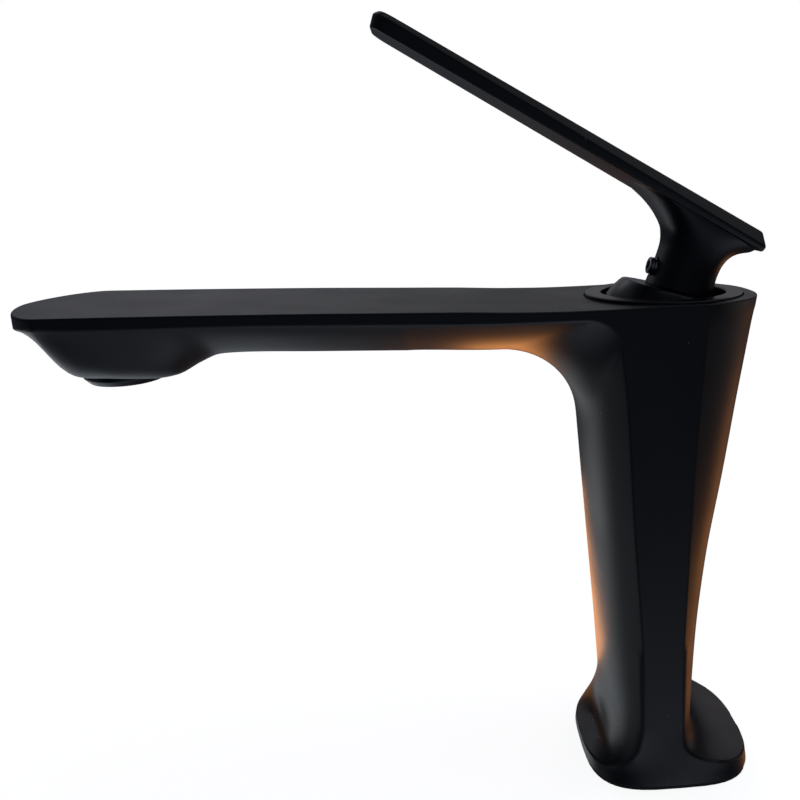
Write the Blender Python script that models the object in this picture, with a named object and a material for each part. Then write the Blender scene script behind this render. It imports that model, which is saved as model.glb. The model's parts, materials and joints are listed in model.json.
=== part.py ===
"""Single-lever bathroom mixer: cast body with a long flat spout, a tilting and turning lever on a
35 mm ceramic cartridge, and a screw-in aerator.  Metres, +Z up, origin at the centre of the foot's
underside, spout and lever toward -X.  Rest pose: lever lifted to its open stop."""
import bmesh
import bpy
import math
import numpy as np
from mathutils import Matrix, Vector

MM = 0.001

# ---- driving dimensions, millimetres -------------------------------------------------------
SIDE = 23.8                 # half width of the column, foot and rear of the top
SPREAD = 0.0157             # growth of the spout's half width per mm toward the tip
TIP_X = -178.4              # front end of the spout
TIP_LEN, TIP_EXP = 13.5, 1.65
REAR_X = 23.2               # rear end of the top face
REAR_LEN, REAR_EXP = 27.0, 2.15
TOP_Z = 146.3               # top face round the lever
FOOT_F, FOOT_R = 26.2, 25.0    # foot ends, front and rear of the deck-hole centre
FOOT_SIDE = 24.3            # half width of the foot at the deck
FOOT_EXP, RIM_EXP = 3.4, 2.8
AXIS_X = -2.3               # cartridge axis
PIVOT_Z = 135.0             # lever pin height
STEM_TILT = 15.0            # stem tilt at rest, top toward the rear
PLATE_TILT = 30.3           # slope of the lever plate at rest
DOME_R, DOME_WALL, DOME_H = 19.4, 1.5, 12.5
AER_X = -153.4
ARM = 12.1                  # pin to ball

# design stations: (station, value)
TOP_LINE = [(-178.4, 150.2), (-165, 149.9), (-150, 149.6), (-125, 149.0), (-100, 148.3), (-80, 147.6),
            (-60, 146.9), (-45, 146.2), (-30, 145.9), (-18, 146.0), (-5, 146.3), (24, 146.3)]
BAND_LINE = [(-178.4, 145.5), (-174, 146.0), (-170, 146.6), (-165, 147.0), (-156, 146.5), (-135, 146.1),
             (-115, 145.7), (-100, 145.2), (-80, 144.4), (-60, 143.6), (-45, 143.3), (-28.4, 143.2)]
KEEL_LINE = [(-178.4, 145.5), (-176.5, 144.3), (-174, 142.8), (-171.7, 141.1), (-169.8, 138.0), (-168.2, 134.8),
             (-166.0, 132.1), (-162, 130.9), (-155, 131.0), (-146, 130.6), (-141, 130.4), (-136.5, 130.9),
             (-131, 133.5), (-126, 135.2), (-120, 135.4), (-100, 134.7), (-70, 133.6), (-50, 132.7), (-49.5, 132.7)]
FRONT_RIDGE = [(20, -11.3), (40, -11.9), (60, -13.3), (80, -15.0), (100, -16.4), (120, -17.7), (134.2, -19.4)]
FRONT_NOSE = [(20, -19.1), (40, -20.6), (60, -22.3), (80, -24.0), (100, -25.7), (109.7, -26.5)]
REAR_RIDGE = [(20, -0.4), (40, -0.6), (60, -0.2), (80, 0.2), (100, 0.8), (120, 1.7), (135, 2.6), (146.3, -3.8)]
REAR_NOSE = [(20, 6.7), (45, 8.3), (70, 11.1), (95, 15.6), (120, 19.1), (146.3, 23.2)]
FOOT_FRONT_RIDGE = [(-26.2, 4.5), (-22.8, 5.0), (-19.3, 6.2), (-15.8, 8.6), (-13.2, 11.9), (-11.8, 15.5), (-11.3, 20)]
FOOT_REAR_RIDGE = [(-0.4, 20), (0.3, 15), (2.4, 11.9), (6, 9.9), (12, 7.8), (19, 5.6), (25.0, 4.4)]


def pchip(table, at):
    """Monotone cubic through the stations."""
    t = sorted(table)
    x = np.array([p[0] for p in t], float)
    y = np.array([p[1] for p in t], float)
    h = np.diff(x)
    d = np.diff(y) / h
    m = np.zeros(len(x))
    m[0], m[-1] = d[0], d[-1]
    for i in range(1, len(x) - 1):
        if d[i - 1] * d[i] > 0:
            a, b = 2 * h[i] + h[i - 1], h[i] + 2 * h[i - 1]
            m[i] = (a + b) / (a / d[i - 1] + b / d[i])
    q = np.clip(np.asarray(at, float), x[0], x[-1])
    k = np.clip(np.searchsorted(x, q) - 1, 0, len(h) - 1)
    s = (q - x[k]) / h[k]
    return ((1 + 2 * s) * (1 - s) ** 2 * y[k] + s * (1 - s) ** 2 * h[k] * m[k]
            + s * s * (3 - 2 * s) * y[k + 1] + s * s * (s - 1) * h[k] * m[k + 1])


def through(points, t):
    """Smooth plane curve through points, parameter 0..1 by chord length."""
    p = np.array(points, float)
    c = np.concatenate([[0], np.cumsum(np.hypot(*np.diff(p, axis=0).T))])
    c /= c[-1]
    n = len(p)
    m = np.array([(p[min(i + 1, n - 1)] - p[max(i - 1, 0)]) / (c[min(i + 1, n - 1)] - c[max(i - 1, 0)])
                  for i in range(n)])
    out = []
    for q in np.atleast_1d(t):
        k = min(max(int(np.searchsorted(c, q)) - 1, 0), n - 2)
        h = c[k + 1] - c[k]
        s = (q - c[k]) / h
        out.append((1 + 2 * s) * (1 - s) ** 2 * p[k] + s * (1 - s) ** 2 * h * m[k]
                   + s * s * (3 - 2 * s) * p[k + 1] + s * s * (s - 1) * h * m[k + 1])
    return np.array(out)


# ---- scene helpers ---------------------------------------------------------------------------
for old in list(bpy.data.objects):
    bpy.data.objects.remove(old, do_unlink=True)

FINISH = {
    "black_lacquer": ((0.012, 0.013, 0.016), 0.0, 0.42),
    "stainless": ((0.62, 0.62, 0.60), 1.0, 0.30),
    "brass": ((0.70, 0.50, 0.22), 1.0, 0.32),
    "acetal_white": ((0.78, 0.78, 0.75), 0.0, 0.45),
    "acetal_grey": ((0.30, 0.31, 0.33), 0.0, 0.50),
    "acetal_blue": ((0.05, 0.14, 0.42), 0.0, 0.45),
    "limit_red": ((0.50, 0.04, 0.03), 0.0, 0.45),
    "alumina": ((0.86, 0.85, 0.80), 0.0, 0.18),
    "epdm": ((0.02, 0.02, 0.02), 0.0, 0.85),
}


def finish(obj, key):
    colour, metallic, rough = FINISH[key]
    mat = bpy.data.materials.new(obj.name + "_" + key)
    mat.use_nodes = True
    shader = mat.node_tree.nodes.get("Principled BSDF")
    shader.inputs["Base Color"].default_value = (*colour, 1.0)
    shader.inputs["Metallic"].default_value = metallic
    shader.inputs["Roughness"].default_value = rough
    mat.diffuse_color = (*colour, 1.0)
    obj.data.materials.append(mat)
    return obj


def mesh_object(name, verts, faces, key=None, frame=None):
    """Mesh object from millimetre vertices; near-coincident vertices are welded."""
    mesh = bpy.data.meshes.new(name)
    mesh.from_pydata([tuple(float(c) * MM for c in v) for v in verts], [], [tuple(f) for f in faces])
    obj = bpy.data.objects.new(name, mesh)
    bpy.context.scene.collection.objects.link(obj)
    bm = bmesh.new()
    bm.from_mesh(mesh)
    bmesh.ops.remove_doubles(bm, verts=bm.verts, dist=2e-6)
    bmesh.ops.dissolve_degenerate(bm, edges=bm.edges, dist=2e-6)
    bmesh.ops.recalc_face_normals(bm, faces=bm.faces)
    if bm.calc_volume(signed=True) < 0:
        bmesh.ops.reverse_faces(bm, faces=bm.faces)
    bm.to_mesh(mesh)
    bm.free()
    if frame is not None:
        mesh.transform(frame)
    if key:
        finish(obj, key)
    return obj


def lathe(name, profile, centre=(0, 0), key=None, seg=48, frame=None, axis_z=0.0):
    """Closed profile of (r, z) turned about the vertical through centre."""
    verts, faces = [], []
    n = len(profile)
    for i in range(seg):
        a = 2 * math.pi * i / seg
        for r, z in profile:
            verts.append((centre[0] + r * math.cos(a), centre[1] + r * math.sin(a), z + axis_z))
    for i in range(seg):
        j = (i + 1) % seg
        for k in range(n):
            l = (k + 1) % n
            if profile[k][0] < 1e-9 and profile[l][0] < 1e-9:
                continue
            faces.append((i * n + k, j * n + k, j * n + l, i * n + l))
    return mesh_object(name, verts, faces, key, frame)


def rod(name, r, z0, z1, centre=(0, 0), key=None, seg=32, frame=None):
    verts = [(centre[0] + r * math.cos(2 * math.pi * i / seg), centre[1] + r * math.sin(2 * math.pi * i / seg), z)
             for z in (z0, z1) for i in range(seg)]
    faces = [tuple(range(seg))[::-1], tuple(range(seg, 2 * seg))]
    faces += [(i, (i + 1) % seg, seg + (i + 1) % seg, seg + i) for i in range(seg)]
    return mesh_object(name, verts, faces, key, frame)


def box(name, lo, hi, key=None, frame=None):
    x0, y0, z0 = lo
    x1, y1, z1 = hi
    v = [(x0, y0, z0), (x1, y0, z0), (x1, y1, z0), (x0, y1, z0),
         (x0, y0, z1), (x1, y0, z1), (x1, y1, z1), (x0, y1, z1)]
    f = [(0, 3, 2, 1), (4, 5, 6, 7), (0, 1, 5, 4), (1, 2, 6, 5), (2, 3, 7, 6), (3, 0, 4, 7)]
    return mesh_object(name, v, f, key, frame)


def cut(target, cutter, operation="DIFFERENCE"):
    cutter.hide_render = True
    cutter.display_type = "WIRE"
    mod = target.modifiers.new(cutter.name, "BOOLEAN")
    mod.operation = operation
    mod.solver = "EXACT"
    mod.object = cutter
    bpy.context.view_layer.objects.active = target
    bpy.context.view_layer.update()
    dg = bpy.context.evaluated_depsgraph_get()
    new = bpy.data.meshes.new_from_object(target.evaluated_get(dg))
    target.modifiers.clear()
    old = target.data
    target.data = new
    bpy.data.meshes.remove(old)
    bpy.data.objects.remove(cutter, do_unlink=True)
    bm = bmesh.new()
    bm.from_mesh(new)
    bmesh.ops.triangulate(bm, faces=[f for f in bm.faces if len(f.verts) > 4])
    bm.to_mesh(new)
    bm.free()


def tidy(obj, dist=0.00001):
    bm = bmesh.new()
    bm.from_mesh(obj.data)
    bmesh.ops.remove_doubles(bm, verts=bm.verts, dist=dist)
    bmesh.ops.dissolve_degenerate(bm, edges=bm.edges, dist=dist)
    bmesh.ops.triangulate(bm, faces=bm.faces)
    bmesh.ops.recalc_face_normals(bm, faces=bm.faces)
    bm.to_mesh(obj.data)
    bm.free()


def place(obj, x, y, z):
    """Moves the object's origin to a point in millimetres without moving its mesh."""
    t = Vector((x, y, z)) * MM
    obj.data.transform(Matrix.Translation(-t))
    obj.location = t


def aimed(origin, direction):
    """Frame whose +Z runs along direction from origin (millimetres)."""
    q = Vector((0, 0, 1)).rotation_difference(Vector(direction).normalized())
    return Matrix.Translation(Vector(origin) * MM) @ q.to_matrix().to_4x4()


# ---- body -------------------------------------------------------------------------------------
def half_width(x):
    return SIDE + SPREAD * max(0.0, -12.0 - x)


def spout_half(x):
    x0 = TIP_X + TIP_LEN
    if x >= x0:
        return half_width(x)
    q = min(1.0, (x0 - x) / TIP_LEN)
    return half_width(x0) * max(0.0, 1 - q ** TIP_EXP) ** (1 / TIP_EXP)


def foot_half(x, z=0.0):
    """Half width of the foot's outline; its corners round off from the underside up to the rim."""
    e = FOOT_EXP + (RIM_EXP - FOOT_EXP) * min(1.0, z / 5.0)
    a = FOOT_F if x < 0 else FOOT_R
    return FOOT_SIDE * max(0.0, 1 - min(1.0, abs(x) / a) ** e) ** (1 / e)


def side_y(x, z):
    """Half width of the flat sides; follows the foot's outline low down."""
    if z >= 20:
        return half_width(x)
    s = min(1.0, max(0.0, (z - 8) / 12))
    s = s * s * (3 - 2 * s)
    return foot_half(x, z) + (half_width(x) - foot_half(x, z)) * s


def crown(t, shape):
    """Depth share of a section at half-width share t; shape (a, b): b under 2 gives a crisp ridge at the
    sides, b under 1 a hollow beside it."""
    return max(0.0, 1 - abs(t) ** shape[0]) ** (1 / shape[1])


def keel_shape(x):
    """Section of the underside: hollow under the lip, full and steep round the aerator, then a low crown."""
    a = pchip([(-178.4, 0.9), (-172, 1.0), (-168, 1.6), (-164, 3.0), (-158, 5.0), (-150, 6.0), (-140, 5.5),
               (-132, 4.0), (-124, 2.4), (0, 2.3)], x)
    b = pchip([(-178.4, 0.9), (-172, 0.95), (-168, 0.9), (-164, 0.8), (-158, 0.68), (-150, 0.62), (-140, 0.66),
               (-132, 0.8), (-124, 1.1), (0, 1.15)], x)
    return float(a), float(b)


COLUMN_SHAPE = (2.4, 1.15)
FOOT_SHAPE = (2.1, 1.6)


def build_body(tip_n=7, spout_n=19, corner_n=6, col_n=9, foot_n=7, across=12):
    verts, faces = [], []

    def add(x, y, z):
        verts.append((x, y, z))
        return len(verts) - 1

    x0 = TIP_X + TIP_LEN
    # inner path: (ridge xz, nose xz, outer xz)
    ridge, nose, outer = [], [], []
    for i in range(tip_n):
        a = math.pi / 2 * (1 - i / tip_n)
        x = x0 - TIP_LEN * math.sin(a) ** (2 / TIP_EXP)
        ridge.append((x, float(pchip(BAND_LINE, x))))
        nose.append((x, float(pchip(KEEL_LINE, x))))
        outer.append((x, float(pchip(TOP_LINE, x))))
    for i in range(spout_n):
        q = i / spout_n
        x = x0 + (-50 - x0) * q
        ridge.append((x, float(pchip(BAND_LINE, x))))
        nose.append((x, float(pchip(KEEL_LINE, x))))
        outer.append((x, float(pchip(TOP_LINE, x))))
    for i in range(3):
        q = i / 3
        xr, xm, xo = -50 + 21.6 * q, -50 + 0.5 * q, -50 + 22 * q
        ridge.append((xr, float(pchip(BAND_LINE, xr))))
        nose.append((xm, float(pchip(KEEL_LINE, xm))))
        outer.append((xo, float(pchip(TOP_LINE, xo))))
    for i in range(corner_n):
        a = math.pi / 2 * i / corner_n
        ridge.append((-28.4 + 9.0 * math.sin(a), 134.2 + 9.0 * math.cos(a)))
        nose.append((-49.5 + 23.0 * math.sin(a), 109.7 + 23.0 * math.cos(a)))
        xo = -28 + (REAR_X - REAR_LEN + 28) * i / corner_n
        outer.append((xo, float(pchip(TOP_LINE, xo))))
    col_start = len(ridge)
    for i in range(col_n + 1):
        q = i / col_n
        zr, zm = 134.2 + (20 - 134.2) * q, 109.7 + (20 - 109.7) * q
        zo = TOP_Z + (20 - TOP_Z) * q
        ridge.append((float(pchip(FRONT_RIDGE, zr)), zr))
        nose.append((float(pchip(FRONT_NOSE, zm)), zm))
        outer.append((float(pchip(REAR_RIDGE, zo)), zo))
    col_end = len(ridge) - 1

    def half_at(i, p):
        if i < col_start and p[0] < -50:
            return spout_half(p[0])
        return side_y(p[0], p[1])

    # panel strips
    near, far = {}, {}
    m = 3
    for i in range(len(ridge)):
        r, o = np.array(ridge[i]), np.array(outer[i])
        for k in range(m + 1):
            p = r + (o - r) * k / m
            w = half_at(i, p)
            near[i, k] = add(p[0], -w, p[1])
            far[i, k] = add(p[0], w, p[1])
    for i in range(len(ridge) - 1):
        for k in range(m):
            faces.append((near[i, k], near[i + 1, k], near[i + 1, k + 1], near[i, k + 1]))
            faces.append((far[i, k], far[i, k + 1], far[i + 1, k + 1], far[i + 1, k]))
    # foot columns: ridge curves to the rims, down to the underside
    psi_f = math.asin((11.3 / FOOT_F) ** (RIM_EXP / 2))
    front_x, rear_x = [], []
    for j in range(1, foot_n + 1):
        a = psi_f + (math.pi / 2 - psi_f) * j / foot_n
        front_x.append(-FOOT_F * math.sin(a) ** (2 / RIM_EXP))
    t_rear = np.linspace(0, 1, foot_n + 3)[1:]
    rr = through(FOOT_REAR_RIDGE, t_rear * 0.86)
    rear_pts = [tuple(p) for p in rr]
    xl = rear_pts[-1][0]
    a0 = math.asin((xl / FOOT_R) ** (RIM_EXP / 2))
    for j in range(1, 5):
        a = a0 + (math.pi / 2 - a0) * j / 4
        x = FOOT_R * math.sin(a) ** (2 / RIM_EXP)
        rear_pts.append((x, float(np.interp(x, [p[0] for p in FOOT_REAR_RIDGE], [p[1] for p in FOOT_REAR_RIDGE]))))
    front_pts = [(x, float(pchip(FOOT_FRONT_RIDGE, x))) for x in front_x]

    def low(x):
        return add(x, -foot_half(x), 0.0), add(x, foot_half(x), 0.0)

    def mid(x, z):
        y = side_y(x, z)
        return add(x, -y, z), add(x, y, z)

    base_cols = []
    for j in range(len(front_pts) - 1, -1, -1):
        x, z = front_pts[j]
        base_cols.append([mid(x, z), mid(x, z * 0.5), low(x)])
    for k in range(m + 1):
        i = col_end
        x = verts[near[i, k]][0]
        base_cols.append([(near[i, k], far[i, k]), mid(x, 10), low(x)])
    for x, z in rear_pts:
        base_cols.append([mid(x, z), mid(x, z * 0.5), low(x)])
    for a, b in zip(base_cols[:-1], base_cols[1:]):
        for k in range(2):
            faces.append((a[k][0], a[k + 1][0], b[k + 1][0], b[k][0]))
            faces.append((a[k][1], b[k][1], b[k + 1][1], a[k + 1][1]))
    under = [c[2][0] for c in base_cols] + [c[2][1] for c in base_cols][::-1]
    faces.append(tuple(under))

    # cross sections of the inner surface
    def section(r, mxz, w, shape, ids):
        row = []
        for k in range(across + 1):
            phi = -math.pi / 2 + math.pi * k / across
            t = math.sin(phi)
            c = crown(t, shape)
            if k == 0:
                row.append(ids[0])
            elif k == across:
                row.append(ids[1])
            else:
                row.append(add(r[0] + (mxz[0] - r[0]) * c, w * t, r[1] + (mxz[1] - r[1]) * c))
        return row

    rows = []
    for i in range(len(ridge)):
        w = half_at(i, ridge[i])
        low_down = min(1.0, max(0.0, (50 - ridge[i][1]) / 30)) if i >= col_start else 0.0
        shape = keel_shape(nose[i][0]) if i < col_start else tuple(
            u + (v - u) * low_down for u, v in zip(COLUMN_SHAPE, FOOT_SHAPE))
        rows.append(section(ridge[i], nose[i], w, shape, (near[i, 0], far[i, 0])))
    fm = through([(-19.1, 20), (-18.8, 14), (-18.9, 9.4), (-20.9, 6.4), (-26.2, 4.5)],
                 np.linspace(0, 1, len(front_pts) + 1)[1:])
    for j, p in enumerate(front_pts):
        ids = base_cols[len(front_pts) - 1 - j][0]
        rows.append(section(p, fm[j], side_y(*p), FOOT_SHAPE, ids))
    for a, b in zip(rows[:-1], rows[1:]):
        for k in range(across):
            faces.append((a[k], a[k + 1], b[k + 1], b[k]))
    # rear surface
    rows = []
    for i in range(col_start, col_end + 1):
        o = outer[i]
        high = min(1.0, max(0.0, (o[1] - 95) / 35))
        low_down = min(1.0, max(0.0, (50 - o[1]) / 30))
        shape = tuple(u + (REAR_EXP - u) * high + (v - u) * low_down for u, v in zip(COLUMN_SHAPE, FOOT_SHAPE))
        xm = float(pchip(REAR_NOSE, o[1]))
        rows.append(section(o, (xm, o[1]), side_y(*o), shape, (near[i, m], far[i, m])))
    rm = through([(6.6, 20), (6.9, 15), (8.7, 11.6), (12, 9.0), (18, 6.4), (25.0, 4.4)],
                 np.linspace(0, 1, len(rear_pts) + 1)[1:])
    for j, p in enumerate(rear_pts):
        ids = base_cols[len(front_pts) + m + 1 + j][0]
        rows.append(section(p, rm[j], side_y(*p), FOOT_SHAPE, ids))
    for a, b in zip(rows[:-1], rows[1:]):
        for k in range(across):
            faces.append((a[k], b[k], b[k + 1], a[k + 1]))
    # top face
    for i in range(col_start):
        faces.append((near[i, m], near[i + 1, m], far[i + 1, m], far[i, m]))
    faces.append(tuple(rows[0][::-1]))
    return mesh_object("body_casting", verts, faces)


body = build_body()

ax = (AXIS_X, 0.0)
CAV_Z, SHOULDER_Z, SKIRT_Z, RECESS_Z = 106.5, 129.0, 133.6, 144.6
cut(body, lathe("c_bore", [(0, CAV_Z), (17.9, CAV_Z), (17.9, SHOULDER_Z), (19.0, SHOULDER_Z), (19.0, SKIRT_Z),
                           (20.1, SKIRT_Z), (20.1, RECESS_Z), (22.3, RECESS_Z), (22.3, 160), (0, 160)], ax, seg=48))
INLET = (-5.0, 10.0)
for s in (-1, 1):
    cut(body, lathe("c_inlet", [(0, -2), (4.6, -2), (4.6, 12), (3.6, 13), (3.6, CAV_Z + 1), (0, CAV_Z + 1)],
                    (INLET[0], s * INLET[1]), seg=20))
cut(body, rod("c_stud", 3.4, -2, 14, (-13.0, 0), seg=20))
# rebate for the foot gasket
n_out = 48
outline = []
for i in range(n_out):
    a = 2 * math.pi * i / n_out
    cx, sy = math.cos(a), math.sin(a)
    outline.append((math.copysign(abs(cx) ** (2 / FOOT_EXP), cx), math.copysign(abs(sy) ** (2 / FOOT_EXP), sy)))


def frame_ring(name, outer_in, inner_in, z0, z1, key=None):
    verts, faces = [], []
    for inset in (outer_in, inner_in):
        for z in (z0, z1):
            for u, v in outline:
                verts.append((u * ((FOOT_F if u < 0 else FOOT_R) - inset), v * (FOOT_SIDE - inset), z))
    n = n_out
    for i in range(n):
        j = (i + 1) % n
        o0, o1, i0, i1 = i, n + i, 2 * n + i, 3 * n + i
        q0, q1, w0, w1 = j, n + j, 2 * n + j, 3 * n + j
        faces += [(o0, q0, q1, o1), (i0, i1, w1, w0), (o1, q1, w1, i1), (o0, i0, w0, q0)]
    return mesh_object(name, verts, faces, key)


# aerator socket, waterway
cut(body, lathe("c_socket", [(0, 120), (12.3, 120), (12.3, 139.6), (9.0, 139.6), (9.0, 141.4), (0, 141.4)],
                (AER_X, 0), seg=40))
way = Vector((-33.0, 0, 140.3)) - Vector((-150.0, 0, 142.4))
cut(body, rod("c_way", 3.0, 0, way.length, seg=16, frame=aimed((-150.0, 0, 142.4), way)))
drop = Vector((-33.4, 0, 141.6)) - Vector((-18.4, 0, 115.7))
cut(body, rod("c_drop", 2.3, 0, drop.length, seg=16, frame=aimed((-18.4, 0, 115.7), drop)))
tidy(body)
cut(body, frame_ring("c_rebate", -2.0, 4.2, -1.0, 1.5))
tidy(body)
finish(body, "black_lacquer")

frame_ring("base_gasket", 0.5, 3.9, 0.0, 1.2, "epdm")

# ---- bezel, nut -------------------------------------------------------------------------------
lathe("bezel_ring", [(18.3, 144.9), (22.0, 144.9), (22.0, 146.6), (21.7, 146.9), (17.6, 146.9), (17.35, 146.5)],
      ax, "black_lacquer", seg=48)
nut = lathe("clamp_nut", [(13.2, 129.3), (18.7, 129.3), (18.7, 133.0), (13.2, 133.0)], ax, None, seg=36)
for i in range(4):
    a = math.pi / 4 + math.pi / 2 * i
    c, s = math.cos(a), math.sin(a)
    m4 = Matrix.Translation(Vector((AXIS_X, 0, 131.7)) * MM) @ Matrix.Rotation(a, 4, "Z")
    cut(nut, box("c_notch", (12.0, -2.0, 0), (15.4, 2.0, 3.0), frame=m4))
tidy(nut)
finish(nut, "brass")

# ---- cartridge --------------------------------------------------------------------------------
BASE_Z0, BASE_Z1 = 106.8, 111.3
base = rod("cartridge_base", 17.2, BASE_Z0, BASE_Z1, ax, None, seg=40)
for s in (-1, 1):
    c = (INLET[0], s * INLET[1])
    cut(base, lathe("c_port", [(0, BASE_Z0 - 1), (5.4, BASE_Z0 - 1), (5.4, BASE_Z0 + 1.6), (3.4, BASE_Z0 + 1.6),
                               (3.4, BASE_Z1 - 1.5), (5.0, BASE_Z1 - 1.5), (5.0, BASE_Z1 + 1), (0, BASE_Z1 + 1)],
                    c, seg=20))
cut(base, rod("c_out", 3.4, BASE_Z0 + 1.4, BASE_Z1 + 1, (AXIS_X + 8.5, 0), seg=20))
cut(base, box("c_outslot", (AXIS_X + 8.5, -3.0, BASE_Z0 + 1.4), (AXIS_X + 20, 3.0, BASE_Z1 - 0.0)))
tidy(base)
finish(base, "acetal_grey")
for s, tag in ((-1, "hot"), (1, "cold")):
    c = (INLET[0], s * INLET[1])
    lathe("inlet_seal_" + tag, [(3.8, 106.8), (5.1, 106.8), (5.1, 108.1), (3.8, 108.1)], c, "epdm", seg=24)
    lathe("disc_seal_" + tag, [(3.6, 110.1), (4.7, 110.1), (4.7, 111.3), (3.6, 111.3)], c, "epdm", seg=24)

fixed = rod("fixed_disc", 14.6, 111.6, 115.1, ax, None, seg=40)
for s in (-1, 1):
    cut(fixed, rod("c_in", 3.2, 110, 117, (INLET[0], s * INLET[1]), seg=20))
cut(fixed, rod("c_mix", 3.6, 110, 117, (AXIS_X + 8.5, 0), seg=20))
tidy(fixed)
finish(fixed, "alumina")

SLIDE0 = -ARM * math.sin(math.radians(STEM_TILT))
sx = (AXIS_X + SLIDE0, 0.0)
moving = rod("moving_disc", 10.8, 115.4, 118.5, sx, None, seg=36)
cut(moving, rod("c_chamber", 6.2, 114, 117.0, (sx[0] + 2.0, 0), seg=24))
tidy(moving)
finish(moving, "alumina")
carrier = rod("disc_carrier", 10.8, 118.8, 123.6, sx, None, seg=36)
cut(carrier, rod("c_ball", 3.4, 119.6, 125, sx, seg=24))
tidy(carrier)
finish(carrier, "acetal_blue")

housing = lathe("cartridge_housing", [(15.0, 111.6), (17.3, 111.6), (17.3, 123.4), (15.9, 123.4), (15.9, 125.6),
                                      (17.3, 125.6), (17.3, 129.0), (12.4, 129.0), (12.4, 126.8), (15.0, 126.8)],
                ax, None, seg=36)
for a in (math.pi, 0.0):
    m4 = Matrix.Translation(Vector((AXIS_X, 0, 0)) * MM) @ Matrix.Rotation(a, 4, "Z")
    cut(housing, box("c_window", (12.0, -4.0, 115.8), (20.0, 4.0, 120.5), frame=m4))
tidy(housing)
finish(housing, "acetal_grey")
lathe("housing_oring", [(16.2, 123.7), (17.6, 123.7), (17.6, 125.3), (16.2, 125.3)], ax, "epdm", seg=36)

guide = lathe("stem_guide", [(0, 123.9), (14.6, 123.9), (14.6, 126.5), (11.9, 126.5), (11.9, 139.0), (0, 139.0)],
              ax, None, seg=40)
cut(guide, box("c_slot", (AXIS_X - 7.0, -4.5, 120), (AXIS_X + 7.0, 4.5, 150)))
pin_frame = Matrix.Translation(Vector((AXIS_X, 0, PIVOT_Z)) * MM) @ Matrix.Rotation(math.pi / 2, 4, "X")
cut(guide, rod("c_pin", 1.8, -15, 15, seg=16, frame=pin_frame))
tidy(guide)
finish(guide, "acetal_white")
rod("stem_pin", 1.5, -10.5, 10.5, key="stainless", seg=16, frame=pin_frame)

limit = lathe("limit_ring", [(12.3, 133.3), (15.3, 133.3), (15.3, 135.2), (12.3, 135.2)], ax, None, seg=40)
cut(limit, box("c_gap", (AXIS_X + 10, -3.0, 132), (AXIS_X + 18, 3.0, 137)))
tidy(limit)
finish(limit, "limit_red")

# ---- moving upper parts, built in the pivot's frame with the stem upright -----------------------
TILT = (Matrix.Translation(Vector((AXIS_X, 0, PIVOT_Z)) * MM)
        @ Matrix.Rotation(math.radians(STEM_TILT), 4, "Y"))

stem = box("lever_stem", (-4.0, -4.0, -5.0), (4.0, 4.0, 25.0))
cut(stem, lathe("u_neck", [(0, -11.0), (1.9, -11.0), (2.5, -4.0), (0, -4.0)], seg=16), "UNION")
ball = [(3.0 * math.cos(t), -ARM + 3.0 * math.sin(t)) for t in np.linspace(-math.pi / 2, math.pi / 2, 9)]
ball[0] = (0.0, ball[0][1])
ball[-1] = (0.0, ball[-1][1])
cut(stem, lathe("u_ball", ball, seg=16), "UNION")
cut(stem, rod("c_hole", 1.8, -10, 10, seg=16, frame=Matrix.Rotation(math.pi / 2, 4, "X")))
stem.data.transform(TILT)
tidy(stem)
finish(stem, "brass")

phi0 = math.acos(DOME_H / DOME_R)
phi1 = math.radians(75.0)
Ri = DOME_R - DOME_WALL
prof = [(7.0, DOME_H)]
prof += [(DOME_R * math.sin(p), DOME_R * math.cos(p)) for p in np.linspace(phi0, phi1, 5)]
phi_i = math.acos((DOME_H - DOME_WALL) / Ri)
prof += [(Ri * math.sin(p), Ri * math.cos(p)) for p in np.linspace(phi1, phi_i, 4)]
prof += [(7.0, DOME_H - DOME_WALL)]
lathe("dome_cap", prof, key="black_lacquer", seg=48, frame=TILT)

# lever: neck and plate joined, plus stem socket and screw hole
NECK_FRONT = [(-7.9, 12.8), (-7.4, 16), (-6.9, 20), (-6.7, 24), (-7.6, 28.1), (-10.3, 31.6), (-14.8, 35.1),
              (-20.5, 38.1), (-26.5, 41.4)]
NECK_REAR = [(10.8, 12.8), (10.3, 15), (10.0, 18), (10.3, 20.9), (11.3, 23.6), (13.2, 25.6), (16.0, 26.9),
             (19.2, 27.7), (22.2, 28.5)]
NECK_HALF = [9.6, 9.6, 9.8, 10.1, 10.7, 11.4, 12.0, 12.3, 12.4]


def build_neck(name, rows=13, seg=28, exp_=2.6):
    t = np.linspace(0, 1, rows)
    k = t * (len(NECK_FRONT) - 1)
    f = np.array([pchip([(i, p[j]) for i, p in enumerate(NECK_FRONT)], k) for j in (0, 1)]).T
    r = np.array([pchip([(i, p[j]) for i, p in enumerate(NECK_REAR)], k) for j in (0, 1)]).T
    b = pchip(list(enumerate(NECK_HALF)), k)
    verts, faces = [], []
    for i in range(rows):
        c, h = (f[i] + r[i]) / 2, (r[i] - f[i]) / 2
        for j in range(seg):
            a = 2 * math.pi * j / seg
            u = math.copysign(abs(math.cos(a)) ** (2 / exp_), math.cos(a))
            v = math.copysign(abs(math.sin(a)) ** (2 / exp_), math.sin(a))
            verts.append((c[0] + h[0] * u, b[i] * v, c[1] + h[1] * u))
    for i in range(rows - 1):
        for j in range(seg):
            l = (j + 1) % seg
            faces.append((i * seg + j, i * seg + l, (i + 1) * seg + l, (i + 1) * seg + j))
    faces.append(tuple(range(seg))[::-1])
    faces.append(tuple(range((rows - 1) * seg, rows * seg)))
    return mesh_object(name, verts, faces)


PLATE_T = 4.8
PLATE_LEN = 117.0           # rear top edge to tip along the plate
PLATE_REAR_HALF, PLATE_TIP_HALF = 14.0, 8.5
TIP_R = 4.5


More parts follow.
